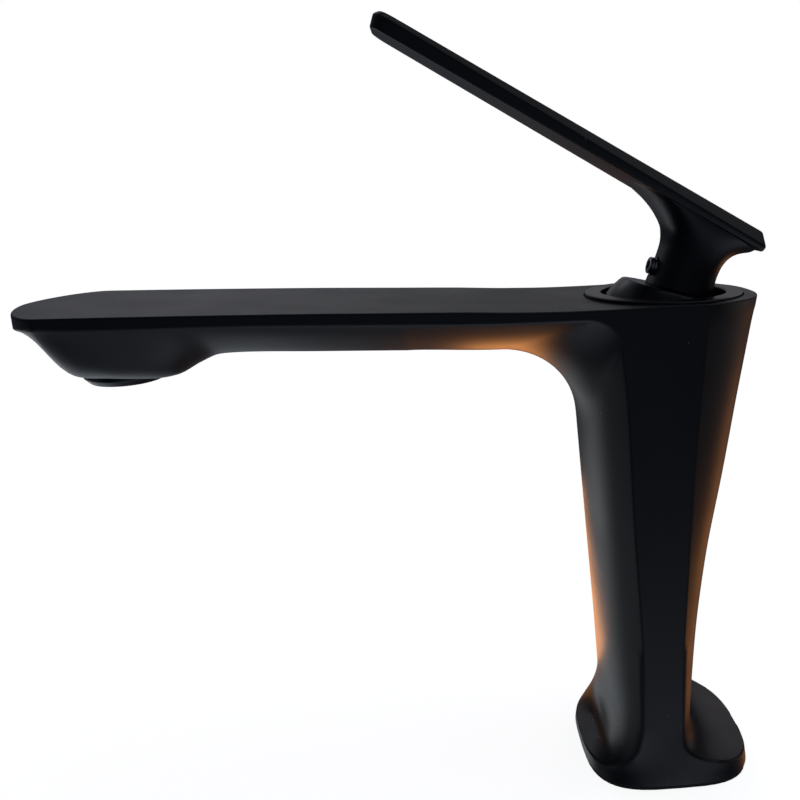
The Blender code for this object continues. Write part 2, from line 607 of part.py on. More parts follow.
def plate_outline(inset, tip_in, rear_out, n_c=6):
    """Closed outline, u along the plate toward the tip from the rear top edge, v across."""
    length = PLATE_LEN - tip_in
    slope = (PLATE_TIP_HALF - PLATE_REAR_HALF) / PLATE_LEN

    def half(u):
        return PLATE_REAR_HALF + slope * u - inset(max(0.0, u))
    pts = []
    rr = 1.6
    u0 = -rear_out
    for i in range(4):
        a = math.pi / 2 * i / 3
        pts.append((u0 + rr * (1 - math.cos(a)), half(0) - rr * (1 - math.sin(a))))
    for u in (0.25, 0.5, 0.75):
        pts.append((PLATE_LEN * u, half(PLATE_LEN * u)))
    r = TIP_R - inset(PLATE_LEN) * 0.5
    for i in range(n_c + 1):
        a = math.pi / 2 * i / n_c
        pts.append((length - r * (1 - math.sin(a)), half(length) - r * (1 - math.cos(a))))
    return pts + [(u, -v) for u, v in reversed(pts)]


def bevel_drop(u):
    return 3.3 + (1.35 - 3.3) * min(1.0, u / PLATE_LEN)


def build_plate(name):
    rings = [(plate_outline(lambda u: 0.8 * bevel_drop(u), 1.1, 0.0), lambda u: 0.0),
             (plate_outline(lambda u: 0.0, 0.0, 2.0), lambda u: -bevel_drop(u)),
             (plate_outline(lambda u: 0.6, 0.7, 2.6), lambda u: -PLATE_T)]
    verts, faces = [], []
    n = len(rings[0][0])
    for pts, z in rings:
        for u, v in pts:
            verts.append((-u, v, z(max(0.0, u))))
    for k in range(2):
        for i in range(n):
            j = (i + 1) % n
            faces.append((k * n + i, k * n + j, (k + 1) * n + j, (k + 1) * n + i))
    faces.append(tuple(range(n)))
    faces.append(tuple(range(2 * n, 3 * n))[::-1])
    return mesh_object(name, verts, faces)


lever = build_neck("lever_handle")
lever.data.transform(TILT)
plate = build_plate("u_plate")
plate.data.transform(Matrix.Translation(Vector((22.0, 0, 163.0)) * MM)
                     @ Matrix.Rotation(math.radians(PLATE_TILT), 4, "Y"))
cut(lever, plate, "UNION")
cut(lever, box("c_socket_square", (-4.4, -4.4, 5.0), (4.4, 4.4, 25.4), frame=TILT))
SCREW_H = 17.6
screw_frame = TILT @ Matrix.Translation(Vector((0, 0, SCREW_H)) * MM) @ Matrix.Rotation(-math.pi / 2, 4, "Y")
cut(lever, rod("c_screw", 2.8, 3.0, 14.0, seg=20, frame=screw_frame))
tidy(lever)
finish(lever, "black_lacquer")

screw = lathe("set_screw", [(0, 4.3), (2.0, 4.3), (2.45, 4.8), (2.45, 8.7), (2.1, 9.1), (0, 9.1)], seg=20)
cut(screw, rod("c_hex", 1.45, 6.6, 10.0, seg=6))
screw.data.transform(screw_frame)
tidy(screw)
finish(screw, "stainless")

# ---- aerator ----------------------------------------------------------------------------------
ac = (AER_X, 0.0)
lathe("aerator_shell", [(8.4, 128.2), (9.5, 128.2), (11.2, 129.9), (11.2, 131.4), (12.0, 131.4), (12.0, 139.0),
                        (10.9, 139.0), (10.9, 130.0), (8.4, 130.0)], ac, "black_lacquer", seg=36)
insert = rod("aerator_insert", 10.5, 130.3, 133.8, ac, None, seg=28)
pitch = 4.9
for i in range(-2, 3):
    for j in range(-2, 3):
        x, y = (i + 0.5 * (j % 2)) * pitch, j * pitch * 0.866
        if math.hypot(x, y) < 7.2:
            cut(insert, rod("c_cell", 1.9, 120, 140, (AER_X + x, y), seg=6))
tidy(insert)
finish(insert, "acetal_white")
mixer = rod("jet_plate", 10.5, 134.1, 135.4, ac, None, seg=28)
for i in range(8):
    a = 2 * math.pi * i / 8
    cut(mixer, rod("c_jet", 0.9, 132, 138, (AER_X + 6.5 * math.cos(a), 6.5 * math.sin(a)), seg=8))
tidy(mixer)
finish(mixer, "acetal_blue")
screen = rod("inlet_screen", 10.4, 135.7, 136.4, ac, None, seg=28)
for i in range(-2, 3):
    for j in range(-2, 3):
        x, y = i * 3.5, j * 3.5
        if math.hypot(x, y) < 8.2:
            cut(screen, box("c_mesh", (AER_X + x - 1.2, y - 1.2, 134), (AER_X + x + 1.2, y + 1.2, 138)))
tidy(screen)
finish(screen, "stainless")
lathe("aerator_washer", [(8.6, 136.8), (10.6, 136.8), (10.6, 139.2), (8.6, 139.2)], ac, "epdm", seg=28)

# ---- origins on the joint axes -----------------------------------------------------------------
for name in ("stem_guide", "stem_pin"):
    place(bpy.data.objects[name], AXIS_X, 0, PIVOT_Z)
for name in ("lever_stem", "dome_cap", "lever_handle", "set_screw"):
    place(bpy.data.objects[name], AXIS_X, 0, PIVOT_Z)
for name in ("moving_disc", "disc_carrier"):
    place(bpy.data.objects[name], sx[0], 0, 118.6)
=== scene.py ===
"""Looks of a satin black single-lever basin mixer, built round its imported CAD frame.

Lengths are millimetres unless a name says otherwise; `solid` turns them into metres.  +Z is up,
the spout and the lever run toward -X, and the lever rests at its open stop.
"""
import json
import logging
import math
from collections.abc import Callable, Iterator, Sequence
from contextlib import contextmanager
from dataclasses import dataclass
from enum import Enum
from typing import Any, ClassVar

import bmesh
import bpy
import numpy as np
from mathutils import Matrix, Vector

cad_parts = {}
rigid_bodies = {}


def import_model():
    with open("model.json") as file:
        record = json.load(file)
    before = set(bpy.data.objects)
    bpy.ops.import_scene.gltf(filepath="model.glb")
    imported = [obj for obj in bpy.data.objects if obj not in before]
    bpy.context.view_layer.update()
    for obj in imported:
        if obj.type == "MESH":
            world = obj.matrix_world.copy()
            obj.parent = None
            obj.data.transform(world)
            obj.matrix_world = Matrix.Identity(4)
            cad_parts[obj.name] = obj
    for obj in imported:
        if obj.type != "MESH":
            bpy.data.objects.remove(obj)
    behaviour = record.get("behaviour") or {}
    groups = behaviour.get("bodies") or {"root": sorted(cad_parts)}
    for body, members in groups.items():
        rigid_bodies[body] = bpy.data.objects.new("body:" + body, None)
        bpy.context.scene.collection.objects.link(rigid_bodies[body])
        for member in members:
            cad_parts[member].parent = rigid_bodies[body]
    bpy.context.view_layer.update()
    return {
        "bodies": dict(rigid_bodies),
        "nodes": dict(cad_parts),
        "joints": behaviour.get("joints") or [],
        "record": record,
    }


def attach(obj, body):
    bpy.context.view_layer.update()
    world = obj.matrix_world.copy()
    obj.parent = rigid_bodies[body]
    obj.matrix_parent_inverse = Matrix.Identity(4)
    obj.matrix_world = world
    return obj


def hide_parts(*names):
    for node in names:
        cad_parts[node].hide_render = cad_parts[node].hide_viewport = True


log = logging.getLogger("mixer")

MM = 0.001

Pair = tuple[float, float]
Triple = tuple[float, float, float]
Table = tuple[Pair, ...]
Object = bpy.types.Object
Material = bpy.types.Material
Tree = bpy.types.NodeTree
Node = bpy.types.Node
Socket = bpy.types.NodeSocket


class Body(str, Enum):
    """The bodies of the frame that new pieces ride on."""

    TAP = "tap_body"
    LEVER = "lever"


class Slot(str, Enum):
    """The record's material slots, one named for each new piece."""

    BODY = "body_lacquer"
    LEVER = "lever_lacquer"
    TRIM = "trim_lacquer"
    SCREW = "screw_steel"
    INSERT = "insert_plastic"


# ---- curves ----
def cubic(values: Sequence[Any], slopes: Sequence[Any], k: int, h: float, s: float) -> Any:
    """The smooth curve over one interval.

    Args:
        values: Values at the stations.
        slopes: Slopes at the stations.
        k: Number of the interval.
        h: Its length.
        s: Share of it that lies behind, 0 to 1.

    Returns:
        The value there.
    """
    return (
        (1 + 2 * s) * (1 - s) ** 2 * values[k]
        + s * (1 - s) ** 2 * h * slopes[k]
        + s * s * (3 - 2 * s) * values[k + 1]
        + s * s * (s - 1) * h * slopes[k + 1]
    )


def eased(table: Sequence[Pair], at: float) -> float:
    """Height of the monotone cubic through the stations.

    Args:
        table: (station, value) pairs in any order.
        at: Station to read; it is held inside the table's range.

    Returns:
        The value there.
    """
    x, y = np.array(sorted(table), float).T
    h = np.diff(x)
    d = np.diff(y) / h
    m = np.concatenate([[d[0]], np.zeros(len(x) - 2), [d[-1]]])
    for i in range(1, len(x) - 1):
        if d[i - 1] * d[i] > 0:
            a, b = 2 * h[i] + h[i - 1], h[i] + 2 * h[i - 1]
            m[i] = (a + b) / (a / d[i - 1] + b / d[i])
    q = min(max(at, x[0]), x[-1])
    k = min(max(int(np.searchsorted(x, q)) - 1, 0), len(h) - 1)
    s = (q - x[k]) / h[k]
    return float(cubic(y, m, k, h[k], s))


def smooth_path(points: Sequence[Pair], shares: Sequence[float]) -> list[Pair]:
    """Points on a smooth plane curve through given ones.

    Args:
        points: The curve's own points.
        shares: Places along it, 0 to 1 by chord length.

    Returns:
        One point for each share.
    """
    p = np.array(points, float)
    c = np.concatenate([[0], np.cumsum(np.hypot(*np.diff(p, axis=0).T))])
    c /= c[-1]
    last = len(p) - 1
    slope = [
        (p[min(i + 1, last)] - p[max(i - 1, 0)]) / (c[min(i + 1, last)] - c[max(i - 1, 0)])
        for i in range(last + 1)
    ]
    found = []
    for q in shares:
        k = min(max(int(np.searchsorted(c, q)) - 1, 0), last - 1)
        h = c[k + 1] - c[k]
        x, y = cubic(p, slope, k, h, (q - c[k]) / h)
        found.append((float(x), float(y)))
    return found


def clamp01(value: float) -> float:
    """The value held between 0 and 1."""
    return min(1.0, max(0.0, value))


def ramp(value: float, start: float, end: float) -> float:
    """How far a value has come from start to end, held between 0 and 1."""
    return clamp01((value - start) / (end - start))


def mix(a: float, b: float, share: float) -> float:
    """The value a share of the way from a to b."""
    return a + (b - a) * share


def crown(t: float, shape: Pair) -> float:
    """Depth share of a section.

    Args:
        t: Half-width share, -1 to 1.
        shape: Two powers; a second one under 2 leaves a crisp ridge at the sides, and one under 1
            a hollow beside it.

    Returns:
        The depth, 0 at the sides and 1 in the middle.
    """
    return max(0.0, 1 - abs(t) ** shape[0]) ** (1 / shape[1])


def squarish(angle: float, power: float) -> Pair:
    """Point of a rounded square of half width 1 at an angle; power 2 makes it a circle."""
    c, s = math.cos(angle), math.sin(angle)
    return math.copysign(abs(c) ** (2 / power), c), math.copysign(abs(s) ** (2 / power), s)


def band(n: int, low: int, high: int) -> list[tuple[int, ...]]:
    """Faces between two closed rings of n points, given by the rings' numbers."""
    return [
        (low * n + i, low * n + (i + 1) % n, high * n + (i + 1) % n, high * n + i)
        for i in range(n)
    ]


# ---- mesh helpers ----
@contextmanager
def editing(mesh: bpy.types.Mesh) -> Iterator[bmesh.types.BMesh]:
    """Opens a mesh for editing and writes it back at the end.

    Args:
        mesh: Mesh that is changed.

    Yields:
        Its editable form.
    """
    bm = bmesh.new()
    bm.from_mesh(mesh)
    yield bm
    bm.to_mesh(mesh)
    bm.free()


def tilted(at: Triple, degrees: float) -> Matrix:
    """Frame in metres at a millimetre point, tilted about Y."""
    return Matrix.Translation(Vector(at) * MM) @ Matrix.Rotation(math.radians(degrees), 4, "Y")


def placed(name: str, data: Any) -> Object:
    """A new object with that data, linked to the scene."""
    obj = bpy.data.objects.new(name, data)
    bpy.context.scene.collection.objects.link(obj)
    return obj


def solid(
    name: str,
    verts: Sequence[Sequence[float]],
    faces: Sequence[Sequence[int]],
    frame: Matrix | None = None,
) -> Object:
    """A closed mesh object from millimetre points, with doubled points welded.

    Args:
        name: Name of the object.
        verts: Points in millimetres.
        faces: Rings of point indices.
        frame: Matrix in metres that places the finished mesh.

    Returns:
        The new object, linked to the scene.
    """
    mesh = bpy.data.meshes.new(name)
    points = [tuple(float(c) * MM for c in v) for v in verts]
    mesh.from_pydata(points, [], [tuple(f) for f in faces])
    with editing(mesh) as bm:
        bmesh.ops.remove_doubles(bm, verts=bm.verts, dist=2e-6)
        bmesh.ops.dissolve_degenerate(bm, edges=bm.edges, dist=2e-6)
        bmesh.ops.recalc_face_normals(bm, faces=bm.faces)
        if bm.calc_volume(signed=True) < 0:
            bmesh.ops.reverse_faces(bm, faces=bm.faces)
    if frame is not None:
        mesh.transform(frame)
    return placed(name, mesh)


def rounded(profile: Sequence[Pair], radius: float, steps: int = 4) -> list[Pair]:
    """The closed profile with its corners rounded; points on the axis stay sharp.

    Args:
        profile: (radius, height) corners in order.
        radius: Length taken off each side of a corner.
        steps: Segments in each corner.

    Returns:
        The finer profile.
    """
    points = [Vector(p) for p in profile]
    found: list[Pair] = []
    for i, here in enumerate(points):
        back, ahead = points[i - 1] - here, points[(i + 1) % len(points)] - here
        if here.x < 1e-6:
            found.append((here.x, here.y))
            continue
        cut = min(radius, 0.45 * back.length, 0.45 * ahead.length)
        a, b = here + back.normalized() * cut, here + ahead.normalized() * cut
        for k in range(steps + 1):
            s = k / steps
            q = a * (1 - s) ** 2 + here * 2 * s * (1 - s) + b * s * s
            found.append((q.x, q.y))
    return found


def turned(
    name: str,
    profile: Sequence[Pair],
    centre: Pair = (0, 0),
    segments: int = 128,
    frame: Matrix | None = None,
) -> Object:
    """A closed profile of (radius, height) turned about the vertical through centre.

    Args:
        name: Name of the object.
        profile: Closed profile in millimetres.
        centre: Place of the axis.
        segments: Steps round the axis.
        frame: Matrix in metres that places the finished mesh.

    Returns:
        The turned object.
    """
    n = len(profile)
    verts, faces = [], []
    for i in range(segments):
        a = 2 * math.pi * i / segments
        verts += [(centre[0] + r * math.cos(a), centre[1] + r * math.sin(a), z) for r, z in profile]
    for i in range(segments):
        j = (i + 1) % segments
        for k in range(n):
            m = (k + 1) % n
            if profile[k][0] > 1e-9 or profile[m][0] > 1e-9:
                faces.append((i * n + k, j * n + k, j * n + m, i * n + m))
    return solid(name, verts, faces, frame)


def prism(name: str, outline: Sequence[Pair], z0: float, z1: float, frame: Matrix | None = None) -> Object:
    """An upright prism on a closed outline, between two heights."""
    n = len(outline)
    verts = [(x, y, z) for z in (z0, z1) for x, y in outline]
    faces = [tuple(range(n))[::-1], tuple(range(n, 2 * n))]
    return solid(name, verts, faces + band(n, 0, 1), frame)


def polygon(sides: int, radius: float, centre: Pair = (0, 0), turn: float = 0.0) -> list[Pair]:
    """Corners of a regular polygon."""
    return [
        (
            centre[0] + radius * math.cos(turn + 2 * math.pi * i / sides),
            centre[1] + radius * math.sin(turn + 2 * math.pi * i / sides),
        )
        for i in range(sides)
    ]


def merge(target: Object, tool: Object, operation: str = "DIFFERENCE") -> None:
    """Cuts the tool out of the target, or joins it on, and removes the tool.

    Args:
        target: Object whose mesh is changed.
        tool: Object that is used up.
        operation: DIFFERENCE or UNION.
    """
    mod = target.modifiers.new(tool.name, "BOOLEAN")
    mod.operation, mod.solver, mod.object = operation, "EXACT", tool
    bpy.context.view_layer.update()
    seen = target.evaluated_get(bpy.context.evaluated_depsgraph_get())
    made = bpy.data.meshes.new_from_object(seen)
    target.modifiers.clear()
    target.data = made
    bpy.data.objects.remove(tool, do_unlink=True)
    with editing(made) as bm:
        bmesh.ops.remove_doubles(bm, verts=bm.verts, dist=1e-6)
        bmesh.ops.triangulate(bm, faces=[f for f in bm.faces if len(f.verts) > 4])


def folds(edge: bmesh.types.BMEdge, angle: float) -> bool:
    """Whether an edge folds by more than an angle in degrees, or lacks a face."""
    return len(edge.link_faces) != 2 or edge.calc_face_angle(0.0) > math.radians(angle)


def round_edges(
    obj: Object, width: float, angle: float, keep: Callable[[Vector], bool] | None = None
) -> None:
    """Rounds the edges that fold by more than an angle.

    Args:
        obj: Object whose mesh is changed.
        width: Width of the rounding in millimetres.
        angle: Fold in degrees from which an edge is rounded.
        keep: Says of an edge's midpoint, in millimetres, that it stays sharp.
    """
    with editing(obj.data) as bm:
        chosen = []
        for e in bm.edges:
            if len(e.link_faces) != 2 or not folds(e, angle):
                continue
            middle = (e.verts[0].co + e.verts[1].co) / 2 / MM
            if keep is None or not keep(middle):
                chosen.append(e)
        bmesh.ops.bevel(
            bm, geom=chosen, offset=width * MM, offset_type="OFFSET", segments=3,
            profile=0.5, affect="EDGES", clamp_overlap=False,
        )
        bmesh.ops.remove_doubles(bm, verts=bm.verts, dist=5e-6)
        bmesh.ops.recalc_face_normals(bm, faces=bm.faces)


def calm(obj: Object, passes: int, ridge: float, where: Callable[[Vector], bool]) -> None:
    """Evens out a surface between its ridges.

    Args:
        obj: Object whose mesh is changed.
        passes: How often each point moves to the middle of its neighbours.
        ridge: Fold in degrees that holds a point where it is.
        where: Says of a point, in millimetres, that it may move.
    """
    with editing(obj.data) as bm:
        held = {v for e in bm.edges if folds(e, ridge) for v in e.verts}
        free = [v for v in bm.verts if v not in held and where(v.co / MM)]
        for _ in range(passes):
            bmesh.ops.smooth_vert(
                bm, verts=free, factor=0.5, use_axis_x=True, use_axis_y=True, use_axis_z=True
            )


def smooth(obj: Object, angle: float = 32.0) -> None:
    """Smooth shading, sharp at the edges that fold by more than an angle in degrees."""
    with editing(obj.data) as bm:
        for f in bm.faces:
            f.smooth = True
        for e in bm.edges:
            e.smooth = not folds(e, angle)
    mod = obj.modifiers.new("weighted", "WEIGHTED_NORMAL")
    mod.keep_sharp, mod.weight = True, 60


# ---- material helpers ----
def linear(colour: str) -> tuple[float, float, float, float]:
    """Linear RGBA of an sRGB hex colour such as "#0b0c0f"."""
    parts = [int(colour[i : i + 2], 16) / 255 for i in (1, 3, 5)]
    r, g, b = (c / 12.92 if c <= 0.04045 else ((c + 0.055) / 1.055) ** 2.4 for c in parts)
    return r, g, b, 1.0


def add_node(tree: Tree, kind: str, inputs: dict[str | int, Any] | None = None, **settings: Any) -> Node:
    """Adds a node with its settings, socket values and incoming links.

    Args:
        tree: Node tree that gets it.
        kind: Node type without its ShaderNode prefix.
        inputs: Socket name or number to a value, or to another node's output.
        **settings: Properties of the node.

    Returns:
        The new node.
    """
    node = tree.nodes.new("ShaderNode" + kind)
    for key, value in settings.items():
        setattr(node, key, value)
    for key, value in (inputs or {}).items():
        if isinstance(value, Socket):
            tree.links.new(value, node.inputs[key])
        else:
            node.inputs[key].default_value = value
    return node


def per_mm(pitch: float) -> float:
    """Texture scale in object space that gives a pattern of that pitch in millimetres."""
    return 1 / (pitch * MM)


@dataclass(frozen=True)
class Finish:
    """What every finish shares: its colours, gloss and the pitch of its fine relief."""

    name: str
    colour: str
    shade: str
    roughness: float
    spread: float
    metallic: float = 0.0
    relief_mm: float = 0.8
    relief_um: float = 2.0
    mottle_mm: float = 18.0

    def start(self) -> tuple[Material, Tree, Node, Socket]:
        """Makes the material with its shader.

        Returns:
            The material, its tree, its shader node and the object-space coordinates.
        """
        material = bpy.data.materials.new(self.name)
        material.use_nodes = True
        tree = material.node_tree
        shader = tree.nodes["Principled BSDF"]
        shader.inputs["Metallic"].default_value = self.metallic
        return material, tree, shader, add_node(tree, "TexCoord").outputs["Object"]

    def build(self) -> Material:
        """Makes the material: mottled colour, uneven gloss and a fine relief.

        Returns:
            The material.
        """
        material, tree, shader, place = self.start()
        cloud = add_node(
            tree, "TexNoise", {"Vector": place, "Scale": per_mm(self.mottle_mm), "Detail": 3.0}
        )
        tint = add_node(
            tree, "Mix", {0: cloud.outputs[0], 6: linear(self.colour), 7: linear(self.shade)},
            data_type="RGBA",
        )
        low, high = self.roughness - self.spread, self.roughness + self.spread
        gloss = add_node(tree, "MapRange", {0: cloud.outputs[0], 1: 0.3, 2: 0.7, 3: low, 4: high})
        self.add_relief(tree, shader, place)
        tree.links.new(self.over(tree, place, tint.outputs[2]), shader.inputs["Base Color"])
        tree.links.new(gloss.outputs[0], shader.inputs["Roughness"])
        return material

    def add_relief(self, tree: Tree, shader: Node, place: Socket) -> None:
        """Fine waves in the surface."""
        waves = add_node(
            tree, "TexNoise", {"Vector": place, "Scale": per_mm(self.relief_mm), "Detail": 2.0}
        )
        self.raise_by(tree, shader, waves.outputs[0])

    def raise_by(self, tree: Tree, shader: Node, height: Socket) -> None:
        """Lifts the surface by a pattern, at the relief's real height."""
        bump = add_node(
            tree, "Bump", {"Height": height, "Distance": self.relief_um * 1e-6, "Strength": 1.0}
        )
        tree.links.new(bump.outputs[0], shader.inputs["Normal"])

    def over(self, tree: Tree, place: Socket, tint: Socket) -> Socket:
        """What lies over the colour; nothing on a plain finish."""
        return tint


@dataclass(frozen=True)
class BakedLacquer(Finish):
    """Satin black baked lacquer: a faint orange peel, and dust, most of it where it faces up."""

    dust: str = "#aeb2b8"
    speck_pitch_mm: float = 6.0
    speck_mm: float = 0.19

    def over(self, tree: Tree, place: Socket, tint: Socket) -> Socket:
        """Lays specks of dust over the colour.

        Args:
            tree: The material's tree.
            place: Object-space coordinates.
            tint: Colour under the dust.

        Returns:
            The colour with the dust on it.
        """
        scale, reach = per_mm(self.speck_pitch_mm), self.speck_mm / self.speck_pitch_mm
        cells = add_node(tree, "TexVoronoi", {"Vector": place, "Scale": scale})
        near = add_node(tree, "Math", {0: cells.outputs["Distance"], 1: reach}, operation="LESS_THAN")
        up = add_node(tree, "SeparateXYZ", {0: add_node(tree, "NewGeometry").outputs["Normal"]})
        facing = add_node(tree, "MapRange", {0: up.outputs[2], 1: -0.2, 2: 0.8, 3: 0.25, 4: 1.0})
        share = add_node(tree, "Math", {0: near.outputs[0], 1: facing.outputs[0]}, operation="MULTIPLY")
        inputs = {0: share.outputs[0], 6: tint, 7: linear(self.dust)}
        return add_node(tree, "Mix", inputs, data_type="RGBA").outputs[2]


@dataclass(frozen=True)
class TurnedMetal(Finish):
    """Bare metal off the lathe: fine rings round the vertical, just coarse enough to show."""

    metallic: float = 1.0
    ring_mm: float = 0.35

    def add_relief(self, tree: Tree, shader: Node, place: Socket) -> None:
        """Lathe rings; the wave texture makes 20 of them in each unit."""
        scale = per_mm(self.ring_mm) / 20
        rings = add_node(
            tree, "TexWave", {"Vector": place, "Scale": scale, "Distortion": 0.6},
            wave_type="RINGS", rings_direction="Z",
        )
        self.raise_by(tree, shader, rings.outputs[1])


# Satin baked polyester over cast brass: near black, broad soft highlights, a trace of blue.
LACQUER = BakedLacquer(
    "satin_black_lacquer", "#0a0b0e", "#0c0d10", 0.40, 0.03, relief_mm=1.1, relief_um=1.4
)
# The same lacquer on turned trim: a little smoother, as the metal under it is.
TRIM_LACQUER = BakedLacquer(
    "satin_black_trim", "#090a0d", "#0c0d11", 0.33, 0.03,
    relief_mm=0.9, relief_um=0.8, speck_pitch_mm=11.0,
)
# CW614 brass off the lathe: yellow, clean.
BRASS = TurnedMetal("turned_brass", "#d8b36a", "#c79f52", 0.30, 0.05, relief_um=3.0)
# A2 stainless steel, machined: neutral grey, bright.
STEEL = TurnedMetal("machined_stainless", "#c9c8c4", "#b4b3b0", 0.27, 0.05, relief_um=2.0)
# POM copolymer, moulded: waxy and even.
WHITE_POM = Finish("moulded_white_pom", "#e3e2dc", "#d9d8d0", 0.42, 0.04, relief_mm=0.5, relief_um=1.5)
GREY_POM = Finish("moulded_grey_pom", "#94969a", "#8a8c90", 0.48, 0.04, relief_mm=0.5, relief_um=2.0)
BLUE_POM = Finish("moulded_blue_pom", "#3f6a9e", "#386196", 0.42, 0.04, relief_mm=0.5, relief_um=1.5)
RED_POM = Finish("moulded_red_pom", "#bb3a32", "#a9322b", 0.44, 0.04, relief_mm=0.5, relief_um=1.5)
# 96% alumina, lapped: ivory white and very smooth.
ALUMINA = Finish("lapped_alumina", "#ece9df", "#e4e1d6", 0.16, 0.03, relief_mm=0.3, relief_um=0.3)
# EPDM rubber, moulded: dull black with a dry bloom.
EPDM = Finish("moulded_epdm", "#161616", "#1e1e1d", 0.80, 0.05, relief_mm=0.4, relief_um=5.0)

CAD_FINISHES: dict[str, Finish] = {
    "base_gasket": EPDM,
    "clamp_nut": BRASS,
    "cartridge_base": GREY_POM,
    "inlet_seal_hot": EPDM,
    "inlet_seal_cold": EPDM,
    "disc_seal_hot": EPDM,
    "disc_seal_cold": EPDM,
    "fixed_disc": ALUMINA,
    "moving_disc": ALUMINA,
    "disc_carrier": BLUE_POM,
    "cartridge_housing": GREY_POM,
    "housing_oring": EPDM,
    "stem_guide": WHITE_POM,
    "stem_pin": STEEL,
    "limit_ring": RED_POM,
    "lever_stem": BRASS,
    "jet_plate": BLUE_POM,
    "inlet_screen": STEEL,
    "aerator_washer": EPDM,
}


class FinishShop:
    """Makes each finish once and puts it on objects."""

    def __init__(self) -> None:
        """Starts with no material made."""
        self.made: dict[str, Material] = {}

    def apply(self, obj: Object, finish: Finish) -> None:
        """Gives an object one finish all over.

        Args:
            obj: Object to dress.
            finish: Finish it gets.
        """
        if finish.name not in self.made:
            self.made[finish.name] = finish.build()
        if obj.material_slots:
            for slot in obj.material_slots:
                slot.material = self.made[finish.name]
        else:
            obj.data.materials.append(self.made[finish.name])


@dataclass
class Part:
    """A sub-assembly that builds its meshes and dresses them."""

    shop: FinishShop

    def install(self, obj: Object, body: Body, slot: Slot, finish: Finish, stands_for: str) -> None:
        """Dresses a piece, hides the CAD node it stands for and lets it ride.

        Args:
            obj: The finished piece.
            body: Body that it moves with.
            slot: Material slot of the record; not used.
            finish: Its finish.
            stands_for: CAD node that it replaces.
        """
        smooth(obj)
        self.shop.apply(obj, finish)
        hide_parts(stands_for)
        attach(obj, body.value)
        log.info("%s: %d faces, stands for %s", obj.name, len(obj.data.polygons), stands_for)


